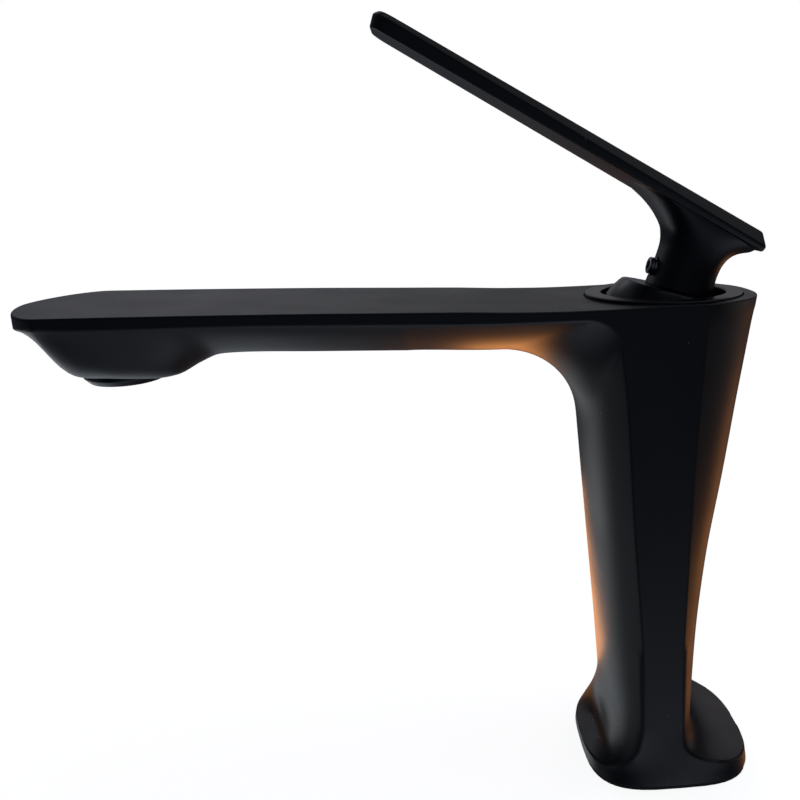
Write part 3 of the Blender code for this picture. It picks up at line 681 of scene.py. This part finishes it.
# ---- cast body ----
@dataclass
class CastBody(Part):
    """Foot, tapering column and long flat spout: one casting with flat sides and crisp ridges."""

    side: float = 23.8
    spread: float = 0.0157
    flare_x: float = -12.0
    tip_x: float = -178.4
    tip_length: float = 13.5
    tip_power: float = 1.65
    rear_x: float = 23.2
    rear_length: float = 20.0
    top_z: float = 146.3
    foot_front: float = 26.2
    foot_rear: float = 25.0
    foot_side: float = 24.3
    foot_power: float = 3.4
    rim_power: float = 2.8
    foot_z: float = 20.0
    foot_low: float = 8.0
    rim_z: float = 5.0
    rear_share: float = 0.86
    run_end: float = -50.0
    bend_x: float = -28.0
    axis_x: float = -2.3
    aerator_x: float = -153.4
    hose: Pair = (-5.0, 10.0)
    stud_x: float = -13.0
    sharp_z: float = 3.0
    calm_x: float = -75.0
    calm_z: Pair = (5.0, 143.0)
    across: int = 44
    strips: int = 4
    levels: int = 6

    TOP: ClassVar[Table] = (
        (-178.4, 150.2), (-165, 149.9), (-150, 149.6), (-125, 149.0), (-100, 148.3), (-80, 147.6),
        (-60, 146.9), (-45, 146.2), (-30, 145.9), (-18, 146.0), (-5, 146.3), (24, 146.3),
    )
    BAND: ClassVar[Table] = (
        (-178.4, 145.5), (-174, 146.0), (-170, 146.6), (-165, 147.0), (-156, 146.5), (-135, 146.1),
        (-115, 145.7), (-100, 145.2), (-80, 144.4), (-60, 143.6), (-45, 143.3), (-28.4, 143.2),
    )
    KEEL: ClassVar[Table] = (
        (-178.4, 145.5), (-176.5, 144.3), (-174, 142.8), (-171.7, 141.1), (-169.8, 138.0), (-168.2, 134.8),
        (-166.0, 132.1), (-162, 130.9), (-155, 131.0), (-146, 130.6), (-141, 130.4), (-136.5, 130.9),
        (-131, 133.5), (-126, 135.2), (-120, 135.4), (-100, 134.7), (-70, 133.6), (-50, 132.7),
        (-49.5, 132.7),
    )
    KEEL_POWER: ClassVar[Table] = (
        (-178.4, 0.9), (-172, 1.0), (-168, 1.6), (-164, 3.0), (-158, 5.0), (-150, 6.0), (-140, 5.5),
        (-132, 4.0), (-124, 2.4), (0, 2.4),
    )
    KEEL_ROOT: ClassVar[Table] = (
        (-178.4, 0.9), (-172, 0.95), (-168, 0.9), (-164, 0.8), (-158, 0.68), (-150, 0.62), (-140, 0.66),
        (-132, 0.8), (-124, 1.1), (0, 1.15),
    )
    FRONT_RIDGE: ClassVar[Table] = (
        (20, -11.3), (40, -11.9), (60, -13.3), (80, -15.0), (100, -16.4), (120, -17.7), (135.3, -19.5),
    )
    FRONT_NOSE: ClassVar[Table] = (
        (20, -19.1), (40, -20.6), (60, -22.3), (80, -24.0), (100, -25.7), (111.6, -26.6),
    )
    REAR_RIDGE: ClassVar[Table] = (
        (20, -0.4), (40, -0.6), (60, -0.2), (80, 0.2), (100, 0.8), (120, 1.7), (135, 2.6), (146.3, 3.2),
    )
    REAR_NOSE: ClassVar[Table] = ((20, 6.7), (45, 8.3), (70, 11.1), (95, 15.6), (120, 19.1), (146.3, 23.2))
    FOOT_FRONT: ClassVar[Table] = (
        (-26.2, 4.5), (-22.8, 5.0), (-19.3, 6.2), (-15.8, 8.6), (-13.2, 11.9), (-11.8, 15.5), (-11.3, 20),
    )
    FOOT_REAR: ClassVar[Table] = (
        (-0.4, 20), (0.3, 15), (2.4, 11.9), (6, 9.9), (12, 7.8), (19, 5.6), (25.0, 4.4),
    )
    FOOT_FRONT_NOSE: ClassVar[Table] = ((-19.1, 20), (-18.8, 14), (-18.9, 9.4), (-20.9, 6.4), (-26.2, 4.5))
    FOOT_REAR_NOSE: ClassVar[Table] = ((6.7, 20), (6.9, 15), (8.7, 11.6), (12, 9.0), (18, 6.4), (25.0, 4.4))
    COLUMN_SHAPE: ClassVar[Pair] = (2.4, 1.15)
    FOOT_SHAPE: ClassVar[Pair] = (2.1, 1.6)
    TOP_SHAPE: ClassVar[Pair] = (2.6, 1.25)
    FOOT_BLEND: ClassVar[Pair] = (50.0, 20.0)
    TOP_BLEND: ClassVar[Pair] = (95.0, 130.0)
    EVEN_BLEND: ClassVar[Pair] = (1.2, 1.7)
    # Each bend: middle x and z, radius, lean where it ends, height where the column starts.
    RIDGE_BEND: ClassVar[tuple[float, ...]] = (-28.4, 134.2, 9.0, 0.12, 135.3)
    NOSE_BEND: ClassVar[tuple[float, ...]] = (-49.5, 109.7, 23.0, 0.082, 111.6)
    BORE: ClassVar[Table] = (
        (0, 106.5), (17.9, 106.5), (17.9, 129.0), (19.0, 129.0), (19.0, 133.6), (20.1, 133.6),
        (20.1, 144.6), (22.3, 144.6), (22.3, 160), (0, 160),
    )
    HOSE: ClassVar[Table] = ((0, -2), (4.6, -2), (4.6, 12), (3.6, 13), (3.6, 107.5), (0, 107.5))
    STUD: ClassVar[Table] = ((0, -2), (3.4, -2), (3.4, 13.4), (2.8, 14), (0, 14))
    SOCKET: ClassVar[Table] = ((0, 120), (12.3, 120), (12.3, 139.6), (9.0, 139.6), (9.0, 141.4), (0, 141.4))

    def half_width(self, x: float) -> float:
        """Half width of the flat sides, growing toward the tip and closed round it."""
        full = self.side + self.spread * max(0.0, self.flare_x - x)
        start = self.tip_x + self.tip_length
        if x >= start:
            return full
        share = min(1.0, (start - x) / self.tip_length)
        full = self.side + self.spread * (self.flare_x - start)
        return full * max(0.0, 1 - share**self.tip_power) ** (1 / self.tip_power)

    def foot_half(self, x: float, z: float = 0.0) -> float:
        """Half width of the foot's outline; its corners are rounder at the rim than at the deck."""
        power = mix(self.foot_power, self.rim_power, clamp01(z / self.rim_z))
        reach = self.foot_front if x < 0 else self.foot_rear
        return self.foot_side * max(0.0, 1 - min(1.0, abs(x) / reach) ** power) ** (1 / power)

    def side_at(self, x: float, z: float) -> float:
        """Half width of the sides at any height."""
        if z >= self.foot_z:
            return self.half_width(x)
        s = ramp(z, self.foot_low, self.foot_z)
        return mix(self.foot_half(x, z), self.half_width(x), s * s * (3 - 2 * s))

    def shares(self, shape: Pair) -> list[float]:
        """Half-width shares of a section's points, closer at the sides where it turns fast."""
        lean = ramp(shape[1], *self.EVEN_BLEND)
        return [
            mix(2 * k / self.across - 1, math.sin(math.pi * (k / self.across - 0.5)), lean)
            for k in range(self.across + 1)
        ]

    def spine(self) -> tuple[list[Pair], list[Pair], list[Pair], int]:
        """The side profile as three matching lines.

        Returns:
            The ridge under the side panel, the middle of the inner surface, the outer edge of the
            panel, and the row where the column starts.
        """
        ridge: list[Pair] = []
        nose: list[Pair] = []
        outer: list[Pair] = []
        tips, run, lead, turns, rows = 18, 100, 12, 22, 84
        start = self.tip_x + self.tip_length
        xs = []
        for i in range(tips):
            share = math.sin(math.pi / 2 * (1 - i / tips)) ** (2 / self.tip_power)
            xs.append(start - self.tip_length * share)
        xs += [mix(start, self.run_end, i / run) for i in range(run)]
        ends = (self.RIDGE_BEND[0], self.NOSE_BEND[0], self.bend_x)
        stations = [(x, x, x) for x in xs]
        stations += [[mix(self.run_end, end, i / lead) for end in ends] for i in range(lead)]
        for row in stations:
            for x, line, table in zip(row, (ridge, nose, outer), (self.BAND, self.KEEL, self.TOP)):
                line.append((x, eased(table, x)))
        for i in range(turns):
            for line, (cx, cz, r, lean, _) in ((ridge, self.RIDGE_BEND), (nose, self.NOSE_BEND)):
                a = (math.pi / 2 - lean) * i / turns
                line.append((cx + r * math.sin(a), cz + r * math.cos(a)))
            xo = mix(self.bend_x, self.rear_x - self.rear_length, i / turns)
            outer.append((xo, eased(self.TOP, xo)))
        column = len(ridge)
        lines = (
            (ridge, self.FRONT_RIDGE, self.RIDGE_BEND[-1]),
            (nose, self.FRONT_NOSE, self.NOSE_BEND[-1]),
            (outer, self.REAR_RIDGE, self.top_z),
        )
        for i in range(rows + 1):
            for line, table, top in lines:
                z = mix(top, self.foot_z, i / rows)
                line.append((eased(table, z), z))
        return ridge, nose, outer, column

    def rim(self, reach: float, begin: float, n: int) -> list[float]:
        """Stations from a place on the foot out to its reach, closer where the rim turns."""
        first = math.asin((begin / reach) ** (self.rim_power / 2))
        return [
            reach * math.sin(mix(first, math.pi / 2, j / n)) ** (2 / self.rim_power)
            for j in range(1, n + 1)
        ]

    def column_shape(self, z: float, top: Pair) -> Pair:
        """Section of the column at a height, blended into the foot's below and another above."""
        high, low = ramp(z, *self.TOP_BLEND), ramp(z, *self.FOOT_BLEND)
        power, root = (
            u + (w - u) * high + (v - u) * low
            for u, v, w in zip(self.COLUMN_SHAPE, self.FOOT_SHAPE, top)
        )
        return power, root

    def foot_lines(self) -> tuple[list[Pair], list[Pair], list[Pair], list[Pair]]:
        """The foot's upper edge and middle line, in front and behind.

        Returns:
            Front edge, front middle, rear edge and rear middle, each from the column outward.
        """
        front_n, rear_n, rear_rim = 26, 30, 12
        root = -self.FRONT_RIDGE[0][1]
        front = [(-x, eased(self.FOOT_FRONT, -x)) for x in self.rim(self.foot_front, root, front_n)]
        rear = smooth_path(self.FOOT_REAR, np.linspace(0, self.rear_share, rear_n + 1)[1:])
        flat = [p for p in self.FOOT_REAR if p[0] > 0]
        for x in self.rim(self.foot_rear, rear[-1][0], rear_rim):
            rear.append((x, float(np.interp(x, *zip(*flat)))))
        front_nose = smooth_path(self.FOOT_FRONT_NOSE, np.linspace(0, 1, len(front) + 1)[1:])
        rear_nose = smooth_path(self.FOOT_REAR_NOSE, np.linspace(0, 1, len(rear) + 1)[1:])
        return front, front_nose, rear, rear_nose

    def skin(self) -> Object:
        """The outer skin as one closed mesh.

        Returns:
            The skin before anything is cut out of it.
        """
        verts: list[Triple] = []
        faces: list[tuple[int, ...]] = []

        def add(x: float, y: float, z: float) -> int:
            verts.append((x, y, z))
            return len(verts) - 1

        def both(x: float, z: float) -> Pair:
            y = self.foot_half(x) if z <= 0 else self.side_at(x, z)
            return add(x, -y, z), add(x, y, z)

        def section(edge: Pair, middle: Pair, half: float, shape: Pair, ends: Pair) -> list[int]:
            row = [ends[0]]
            for t in self.shares(shape)[1:-1]:
                c = crown(t, shape)
                row.append(add(mix(edge[0], middle[0], c), half * t, mix(edge[1], middle[1], c)))
            return [*row, ends[1]]

        def fill(rows: Sequence[Sequence[int]]) -> None:
            for a, b in zip(rows[:-1], rows[1:]):
                faces.extend((a[k], a[k + 1], b[k + 1], b[k]) for k in range(len(a) - 1))

        ridge, nose, outer, column = self.spine()
        last = len(ridge) - 1
        panel = []
        for i, (r, o) in enumerate(zip(ridge, outer)):
            row = []
            for k in range(self.strips + 1):
                x, z = mix(r[0], o[0], k / self.strips), mix(r[1], o[1], k / self.strips)
                y = self.half_width(x) if i < column else self.side_at(x, z)
                row.append((add(x, -y, z), add(x, y, z)))
            panel.append(row)
        for side in (0, 1):
            fill([[p[side] for p in row] for row in panel])

        front, front_nose, rear, rear_nose = self.foot_lines()

        def down(top: Pair, x: float, z: float) -> list[Pair]:
            return [top] + [both(x, z * (1 - k / self.levels)) for k in range(1, self.levels + 1)]

        columns = [down(both(x, z), x, z) for x, z in reversed(front)]
        columns += [down(pair, verts[pair[0]][0], self.foot_z) for pair in panel[last]]
        columns += [down(both(x, z), x, z) for x, z in rear]
        for side in (0, 1):
            fill([[p[side] for p in c] for c in columns])
        faces.append(tuple([c[-1][0] for c in columns] + [c[-1][1] for c in reversed(columns)]))

        rows = []
        for i, (r, n) in enumerate(zip(ridge, nose)):
            if i < column:
                shape = (eased(self.KEEL_POWER, n[0]), eased(self.KEEL_ROOT, n[0]))
                half = self.half_width(r[0])
            else:
                shape, half = self.column_shape(r[1], self.COLUMN_SHAPE), self.side_at(*r)
            rows.append(section(r, n, half, shape, panel[i][0]))
        for p, middle, ends in zip(front, front_nose, reversed(columns[: len(front)])):
            rows.append(section(p, middle, self.side_at(*p), self.FOOT_SHAPE, ends[0]))
        fill(rows)

        rows = []
        for o, ends in zip(outer[column:], panel[column:]):
            shape = self.column_shape(o[1], self.TOP_SHAPE)
            middle = (eased(self.REAR_NOSE, o[1]), o[1])
            rows.append(section(o, middle, self.side_at(*o), shape, ends[-1]))
        for p, middle, ends in zip(rear, rear_nose, columns[len(columns) - len(rear) :]):
            rows.append(section(p, middle, self.side_at(*p), self.FOOT_SHAPE, ends[0]))
        fill(rows)
        fill([panel[i][-1] for i in range(column + 1)])
        faces.append(tuple(rows[0]))
        return solid("body_skin", verts, faces)

    def build(self) -> None:
        """Builds the casting with its bores and lets it stand for the CAD node."""
        obj = self.skin()
        low, high = self.calm_z
        calm(obj, passes=24, ridge=9.0, where=lambda p: p.x > self.calm_x and low < p.z < high)
        round_edges(obj, width=0.5, angle=15.0, keep=lambda p: p.z < self.sharp_z)
        hose_x, hose_y = self.hose
        for name, profile, centre, steps in (
            ("bore", self.BORE, (self.axis_x, 0), 128),
            ("hose_socket", self.HOSE, (hose_x, -hose_y), 40),
            ("hose_socket", self.HOSE, (hose_x, hose_y), 40),
            ("stud_hole", self.STUD, (self.stud_x, 0), 40),
            ("aerator_socket", self.SOCKET, (self.aerator_x, 0), 96),
        ):
            merge(obj, turned(name, profile, centre, steps))
        merge(obj, self.rebate())
        self.install(obj, Body.TAP, Slot.BODY, LACQUER, "body_casting")

    def rebate(self) -> Object:
        """The step round the foot's underside that the gasket lies in."""
        height, wide, margin, n = 1.5, 4.2, -2.0, 160
        verts: list[Triple] = []
        for inset in (margin, wide):
            for z in (-1.0, height):
                for i in range(n):
                    u, v = squarish(2 * math.pi * i / n, self.foot_power)
                    reach = self.foot_front if u < 0 else self.foot_rear
                    verts.append((u * (reach - inset), v * (self.foot_side - inset), z))
        faces = []
        for i in range(n):
            j = (i + 1) % n
            for a, b in ((0, 1), (1, 3), (3, 2), (2, 0)):
                faces.append((a * n + i, a * n + j, b * n + j, b * n + i))
        return solid("rebate", verts, faces)


# ---- lever ----
@dataclass
class LeverTop(Part):
    """Plate lever on its flared neck, the domed cap under it and the screw that clamps it."""

    pivot: Triple = (-2.3, 0.0, 135.0)
    stem_tilt: float = 15.0
    plate_tilt: float = 30.3
    plate_at: Triple = (22.0, 0.0, 163.0)
    plate_thick: float = 4.8
    plate_length: float = 117.0
    rear_half: float = 14.0
    tip_half: float = 8.5
    tip_radius: float = 4.5
    drop_rear: float = 3.3
    drop_tip: float = 1.35
    dome_radius: float = 19.4
    dome_wall: float = 1.5
    dome_height: float = 12.5
    screw_height: float = 17.6
    square_half: float = 4.4
    neck_end: float = 1.7

    NECK_FRONT: ClassVar[Table] = (
        (-7.9, 12.5), (-7.4, 16), (-6.9, 20), (-6.7, 24), (-7.6, 28.1), (-10.3, 31.6), (-14.8, 35.1),
        (-20.5, 38.1), (-26.5, 41.4),
    )
    NECK_REAR: ClassVar[Table] = (
        (10.8, 12.52), (10.3, 15), (10.0, 18), (10.3, 20.9), (11.3, 23.6), (13.2, 25.6), (16.0, 26.9),
        (19.2, 27.7), (22.2, 28.5),
    )
    NECK_HALF: ClassVar[tuple[float, ...]] = (9.6, 9.6, 9.8, 10.1, 10.7, 11.4, 12.0, 12.3, 12.4)

    def stem_frame(self) -> Matrix:
        """Frame of the tilted stem, with its origin on the pin."""
        return tilted(self.pivot, self.stem_tilt)

    def plate_frame(self) -> Matrix:
        """Frame of the sloping plate, with its origin at the middle of its rear top edge."""
        return tilted(self.plate_at, self.plate_tilt)

    def drop(self, u: float) -> float:
        """How far the edge chamfer falls, at a distance from the rear end."""
        return mix(self.drop_rear, self.drop_tip, clamp01(u / self.plate_length))

    def outline(self, inset: Callable[[float], float], tip_in: float, rear_out: float) -> list[Pair]:
        """One closed outline of the plate.

        Args:
            inset: Distance in from the widest outline, along the plate.
            tip_in: Distance in at the tip.
            rear_out: Distance out past the rear top edge.

        Returns:
            Points as (distance from the rear, distance across).
        """
        length = self.plate_length - tip_in
        slope = (self.tip_half - self.rear_half) / self.plate_length

        def half(u: float) -> float:
            return self.rear_half + slope * u - inset(max(0.0, u))

        corner, steps, runs, rear_gap, tip_gap = 1.6, 8, 30, 3.0, 1.5
        points = []
        for i in range(steps + 1):
            a = math.pi / 2 * i / steps
            u, v = corner * (1 - math.cos(a)), corner * (1 - math.sin(a))
            points.append((-rear_out + u, half(0) - v))
        side_end = length - self.tip_radius - tip_gap
        points += [(u, half(u)) for u in np.linspace(rear_gap, side_end, runs)]
        r = self.tip_radius - inset(self.plate_length) * 0.5
        for i in range(2 * steps + 1):
            a = math.pi / 2 * i / (2 * steps)
            points.append((length - r * (1 - math.sin(a)), half(length) - r * (1 - math.cos(a))))
        return points + [(u, -v) for u, v in reversed(points)]

    def plate(self) -> Object:
        """The flat tapering plate with its chamfered top edge."""
        # Top, widest and bottom outline: inset along the plate, at the tip, and reach behind.
        rings = [
            (self.outline(lambda u: 0.8 * self.drop(u), 1.1, 0.0), lambda u: 0.0),
            (self.outline(lambda u: 0.0, 0.0, 2.0), lambda u: -self.drop(u)),
            (self.outline(lambda u: 0.6, 0.7, 1.9), lambda u: -self.plate_thick),
        ]
        n = len(rings[0][0])
        verts = [(-u, v, height(max(0.0, u))) for points, height in rings for u, v in points]
        faces = band(n, 0, 1) + band(n, 1, 2)
        faces += [tuple(range(n)), tuple(range(2 * n, 3 * n))[::-1]]
        obj = solid("plate", verts, faces)
        round_edges(obj, 0.45, angle=14.0)
        obj.data.transform(self.plate_frame())
        return obj

    def neck(self, rows: int = 48, around: int = 112, power: float = 2.6) -> Object:
        """The neck that flares from the cap into the plate.

        Args:
            rows: Rings from bottom to top.
            around: Points in each ring.
            power: Roundness of the rings; 2 is an ellipse.

        Returns:
            The closed neck, its top buried in the plate.
        """
        verts, faces = [], []
        for i in range(rows):
            at = i / (rows - 1) * (len(self.NECK_FRONT) - 1)
            front, rear = (
                [eased([(k, p[j]) for k, p in enumerate(line)], at) for j in (0, 1)]
                for line in (self.NECK_FRONT, self.NECK_REAR)
            )
            half = eased(list(enumerate(self.NECK_HALF)), at)
            for j in range(around):
                u, v = squarish(2 * math.pi * j / around, power)
                x, z = (mix(front[k], rear[k], (1 + u) / 2) for k in (0, 1))
                verts.append((x, half * v, z))
        for i in range(rows - 1):
            faces += band(around, i, i + 1)
        faces += [tuple(range(around))[::-1], tuple(range((rows - 1) * around, rows * around))]
        obj = solid("neck", verts, faces)
        round_edges(obj, 0.3, angle=50.0, keep=lambda p: p.z > 20)
        obj.data.transform(self.stem_frame())
        to_plate = self.plate_frame().inverted()
        for v in obj.data.vertices:
            local = to_plate @ v.co
            local.x = min(local.x, self.neck_end * MM)
            v.co = to_plate.inverted() @ local
        return obj

    def build(self) -> None:
        """Builds the lever, cap and screw."""
        stem = self.stem_frame()
        lever = self.neck()
        lever.name = "lever_blade"
        merge(lever, self.plate(), "UNION")
        h = self.square_half
        square = [(-h, -h), (h, -h), (h, h), (-h, h)]
        merge(lever, prism("stem_square", square, 5.0, 25.4, stem))
        screw_frame = stem @ tilted((0, 0, self.screw_height), -90.0)
        merge(lever, prism("screw_bore", polygon(48, 2.8), 3.0, 14.0, screw_frame))
        self.install(lever, Body.LEVER, Slot.LEVER, LACQUER, "lever_handle")

        self.install(self.dome(stem), Body.LEVER, Slot.TRIM, TRIM_LACQUER, "dome_cap")

        thread = [(2.45 - 0.22 * (i % 2), 4.8 + 0.4 * i) for i in range(10)]
        profile = [(0, 4.3), (2.0, 4.3), *thread, (2.45, 8.8), (2.2, 9.1), (0, 9.1)]
        screw = turned("clamp_screw", rounded(profile, 0.06, 2), segments=64)
        merge(screw, prism("hex", polygon(6, 1.45), 6.6, 10.0))
        screw.data.transform(screw_frame)
        self.install(screw, Body.LEVER, Slot.SCREW, STEEL, "set_screw")

    def dome(self, stem: Matrix) -> Object:
        """The cap: part of a ball round the pin, cut off flat where the neck stands on it."""
        low, r, wall, flat = math.radians(75.0), self.dome_radius, self.dome_wall, self.dome_height
        inner = r - wall
        top, under = math.acos(flat / r), math.acos((flat - wall) / inner)
        arc = [(r * math.sin(p), r * math.cos(p)) for p in np.linspace(top + 0.03, low, 28)]
        back = [(inner * math.sin(p), inner * math.cos(p)) for p in np.linspace(low, under, 20)]
        edge = arc[0][0]
        shoulder = [(edge - 1.0, flat), (edge - 0.55, flat - 0.04), (edge - 0.2, flat - 0.22)]
        profile = [(7.0, flat), *shoulder, *arc, *back, (7.0, flat - wall)]
        return turned("dome_shell", profile, segments=160, frame=stem)


# ---- trim ----
@dataclass
class TopTrim(Part):
    """The turned ring that closes the recess round the cap."""

    axis_x: float = -2.3

    RING: ClassVar[Table] = (
        (18.3, 144.9), (22.0, 144.9), (22.0, 146.6), (21.7, 146.9), (17.6, 146.9), (17.35, 146.5),
    )

    def build(self) -> None:
        """Builds the ring."""
        ring = turned("trim_ring", rounded(self.RING, 0.22), (self.axis_x, 0.0), 192)
        self.install(ring, Body.TAP, Slot.TRIM, TRIM_LACQUER, "bezel_ring")


@dataclass
class Aerator(Part):
    """The screwed-in flow straightener under the spout's end."""

    axis_x: float = -153.4
    cell: float = 1.9
    wall: float = 0.35
    comb_radius: float = 8.6

    SHELL: ClassVar[Table] = (
        (8.4, 128.2), (9.5, 128.2), (11.2, 129.9), (11.2, 131.4), (12.0, 131.4), (12.0, 139.0),
        (10.9, 139.0), (10.9, 130.0), (8.4, 130.0),
    )
    COMB: ClassVar[Table] = ((0, 130.3), (10.5, 130.3), (10.5, 133.8), (0, 133.8))

    def build(self) -> None:
        """Builds the shell and the honeycomb."""
        shell = turned("aerator_collar", rounded(self.SHELL, 0.3), (self.axis_x, 0.0), 128)
        self.install(shell, Body.TAP, Slot.TRIM, TRIM_LACQUER, "aerator_shell")

        comb = turned("aerator_comb", self.COMB, (self.axis_x, 0.0), 96)
        verts: list[Triple] = []
        faces: list[tuple[int, ...]] = []
        radius = (self.cell - self.wall) / math.sqrt(3)
        reach = int(self.comb_radius / self.cell) + 1
        for j in range(-reach, reach + 1):
            for i in range(-reach, reach + 1):
                x, y = (i + 0.5 * (j % 2)) * self.cell, j * self.cell * math.sqrt(3) / 2
                if math.hypot(x, y) > self.comb_radius:
                    continue
                hexagon = polygon(6, radius, (self.axis_x + x, y), math.pi / 6)
                ring = [tuple(range(6))[::-1], tuple(range(6, 12)), *band(6, 0, 1)]
                faces += [tuple(len(verts) + k for k in face) for face in ring]
                verts += [(a, b, z) for z in (129.0, 135.0) for a, b in hexagon]
        merge(comb, solid("cells", verts, faces))
        self.install(comb, Body.TAP, Slot.INSERT, WHITE_POM, "aerator_insert")


# ---- studio ----
@dataclass(frozen=True)
class Card:
    """A soft card far away in the studio, seen in the lacquer.

    `toward` is the direction of its middle, `size` how far it reaches along each axis on a sphere
    of radius 1, and `edge` the share of that where it is at full strength.
    """

    toward: Triple
    size: Triple
    colour: str
    strength: float
    edge: float = 0.2


@dataclass(frozen=True)
class Panel:
    """A flat warm lamp that lies just above the floor and shines up."""

    at_m: Triple
    size_m: Pair
    watts: float
    colour: str = "#ffa65f"


@dataclass
class Studio:
    """Camera, pale floor and soft light."""

    eye_m: Triple = (-0.0703, -0.229, 0.1804)
    yaw: float = 0.065
    pitch: float = 0.242
    roll: float = -0.031
    lens: float = 36.956
    shift: Pair = (-0.0988, -0.0277)
    floor_m: float = 6.0
    floor_glow: float = 0.9
    ambient: str = "#565c6c"
    ambient_strength: float = 0.30

    CARDS: ClassVar[tuple[Card, ...]] = (
        Card((0.68, -0.05, 0.72), (0.50, 0.60, 0.50), "#eef4fb", 0.36),
        Card((0.18, 0.04, 0.98), (0.38, 0.34, 0.38), "#eef4fb", 0.6),
        Card((-0.66, 0.30, 0.66), (0.45, 0.45, 0.42), "#e9eef8", 0.18),
        Card((0.05, 0.95, 0.20), (1.1, 0.9, 0.20), "#f0f0f2", 0.38),
        Card((0.58, 0.70, 0.44), (0.32, 0.36, 0.24), "#f2e6ea", 1.0),
        Card((-0.26, 0.80, 0.58), (0.40, 0.28, 0.22), "#e8e8f2", 1.2),
        Card((0.15, -0.97, 0.05), (0.9, 0.7, 0.40), "#c8cde6", 0.10),
        Card((0.20, -0.50, -0.86), (0.85, 0.75, 0.48), "#dbe6f6", 0.78),
        Card((-0.86, -0.12, -0.52), (0.34, 0.36, 0.38), "#e4ebf5", 0.50),
        Card((-0.46, 0.46, -0.78), (0.50, 0.42, 0.42), "#e4eef6", 0.85),
        Card((-0.34, 0.78, -0.52), (0.32, 0.40, 0.25), "#e2edf4", 0.72),
        Card((-0.70, 0.60, -0.42), (0.38, 0.45, 0.22), "#eef0f2", 1.45),
        Card((0.80, 0.48, -0.47), (0.40, 0.42, 0.26), "#ffa860", 1.2),
        Card((0.96, 0.05, -0.12), (0.34, 0.50, 0.26), "#f3e6e2", 0.50),
    )

    PANELS: ClassVar[tuple[Panel, ...]] = (Panel((-0.014, 0.125, 0.003), (0.079, 0.17), 0.152),)

    def camera(self) -> None:
        """Stands the camera in its place."""
        forward = Vector((
            math.sin(self.yaw) * math.cos(self.pitch),
            math.cos(self.yaw) * math.cos(self.pitch),
            -math.sin(self.pitch),
        ))
        level = Vector((math.cos(self.yaw), -math.sin(self.yaw), 0))
        up = level.cross(forward)
        right = math.cos(self.roll) * level + math.sin(self.roll) * up
        top = -math.sin(self.roll) * level + math.cos(self.roll) * up
        data = bpy.data.cameras.new("camera")
        data.sensor_width, data.lens = 36.0, self.lens
        data.shift_x, data.shift_y = self.shift
        data.clip_start, data.clip_end = 0.01, 50.0
        obj = placed("camera", data)
        rows = [(right[i], top[i], -forward[i], self.eye_m[i]) for i in range(3)]
        obj.matrix_world = Matrix((*rows, (0, 0, 0, 1)))
        bpy.context.scene.camera = obj

    def floor(self) -> None:
        """Lays a plain pale floor that takes a soft contact shadow."""
        h = self.floor_m / 2 / MM
        obj = prism("floor", [(-h, -h), (h, -h), (h, h), (-h, h)], -4.0, -0.02)
        material = bpy.data.materials.new("pale_floor")
        material.use_nodes = True
        shader = material.node_tree.nodes["Principled BSDF"]
        for socket, value in (
            ("Base Color", linear("#f4f4f4")),
            ("Roughness", 0.9),
            ("Specular IOR Level", 0.0),
            ("Emission Color", linear("#ffffff")),
            ("Emission Strength", self.floor_glow),
        ):
            shader.inputs[socket].default_value = value
        obj.data.materials.append(material)
        obj.visible_diffuse = obj.visible_glossy = obj.visible_shadow = False

    def light(self) -> None:
        """Hangs the cards round the object; the lens itself sees plain white."""
        world = bpy.data.worlds.new("studio")
        bpy.context.scene.world = world
        world.use_nodes = True
        tree = world.node_tree
        tree.nodes.clear()

        def vector(operation: str, *values: Any) -> Node:
            return add_node(tree, "VectorMath", dict(enumerate(values)), operation=operation)

        toward = add_node(tree, "TexCoord").outputs["Generated"]
        base = linear(self.ambient)
        total = add_node(tree, "RGB")
        total.outputs[0].default_value = (*(c * self.ambient_strength for c in base[:3]), 1.0)
        light = total.outputs[0]
        for card in self.CARDS:
            middle = tuple(Vector(card.toward).normalized())
            away = vector("SUBTRACT", toward, middle).outputs[0]
            far = vector("LENGTH", vector("DIVIDE", away, card.size).outputs[0]).outputs["Value"]
            share = add_node(
                tree, "MapRange", {0: far, 1: card.edge, 2: 1.0, 3: card.strength, 4: 0.0},
                interpolation_type="SMOOTHSTEP",
            )
            tint = vector("SCALE", linear(card.colour)[:3])
            tree.links.new(share.outputs[0], tint.inputs["Scale"])
            light = vector("ADD", light, tint.outputs[0]).outputs[0]
        lit = add_node(tree, "Background", {0: light, 1: 1.0})
        plain = add_node(tree, "Background", {0: linear("#ffffff"), 1: 1.0})
        seen = add_node(tree, "LightPath").outputs["Is Camera Ray"]
        both = add_node(tree, "MixShader", {0: seen, 1: lit.outputs[0], 2: plain.outputs[0]})
        add_node(tree, "OutputWorld", {0: both.outputs[0]})
        bpy.context.scene.view_settings.view_transform = "Standard"

    def warm_panels(self) -> None:
        """Lays out the warm lamps, which the lens itself doesn't see."""
        for i, panel in enumerate(self.PANELS):
            data = bpy.data.lights.new(f"warm_panel_{i}", "AREA")
            data.shape = "RECTANGLE"
            data.size, data.size_y = panel.size_m
            data.energy = panel.watts
            data.color = linear(panel.colour)[:3]
            obj = placed(data.name, data)
            obj.location = panel.at_m
            obj.rotation_euler = (math.pi, 0, 0)
            obj.visible_camera = False

    def build(self) -> None:
        """Sets the whole stage."""
        self.camera()
        self.floor()
        self.light()
        self.warm_panels()


# ---- all together ----
def main() -> None:
    """Builds every piece round the frame."""
    logging.basicConfig(level=logging.INFO, format="%(name)s %(message)s")
    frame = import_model()
    shop = FinishShop()
    for node, finish in CAD_FINISHES.items():
        shop.apply(frame["nodes"][node], finish)
        log.info("%s keeps its CAD shape, finish %s", node, finish.name)
    CastBody(shop).build()
    LeverTop(shop).build()
    TopTrim(shop).build()
    Aerator(shop).build()
    Studio().build()


if __name__ == "__main__":
    main()
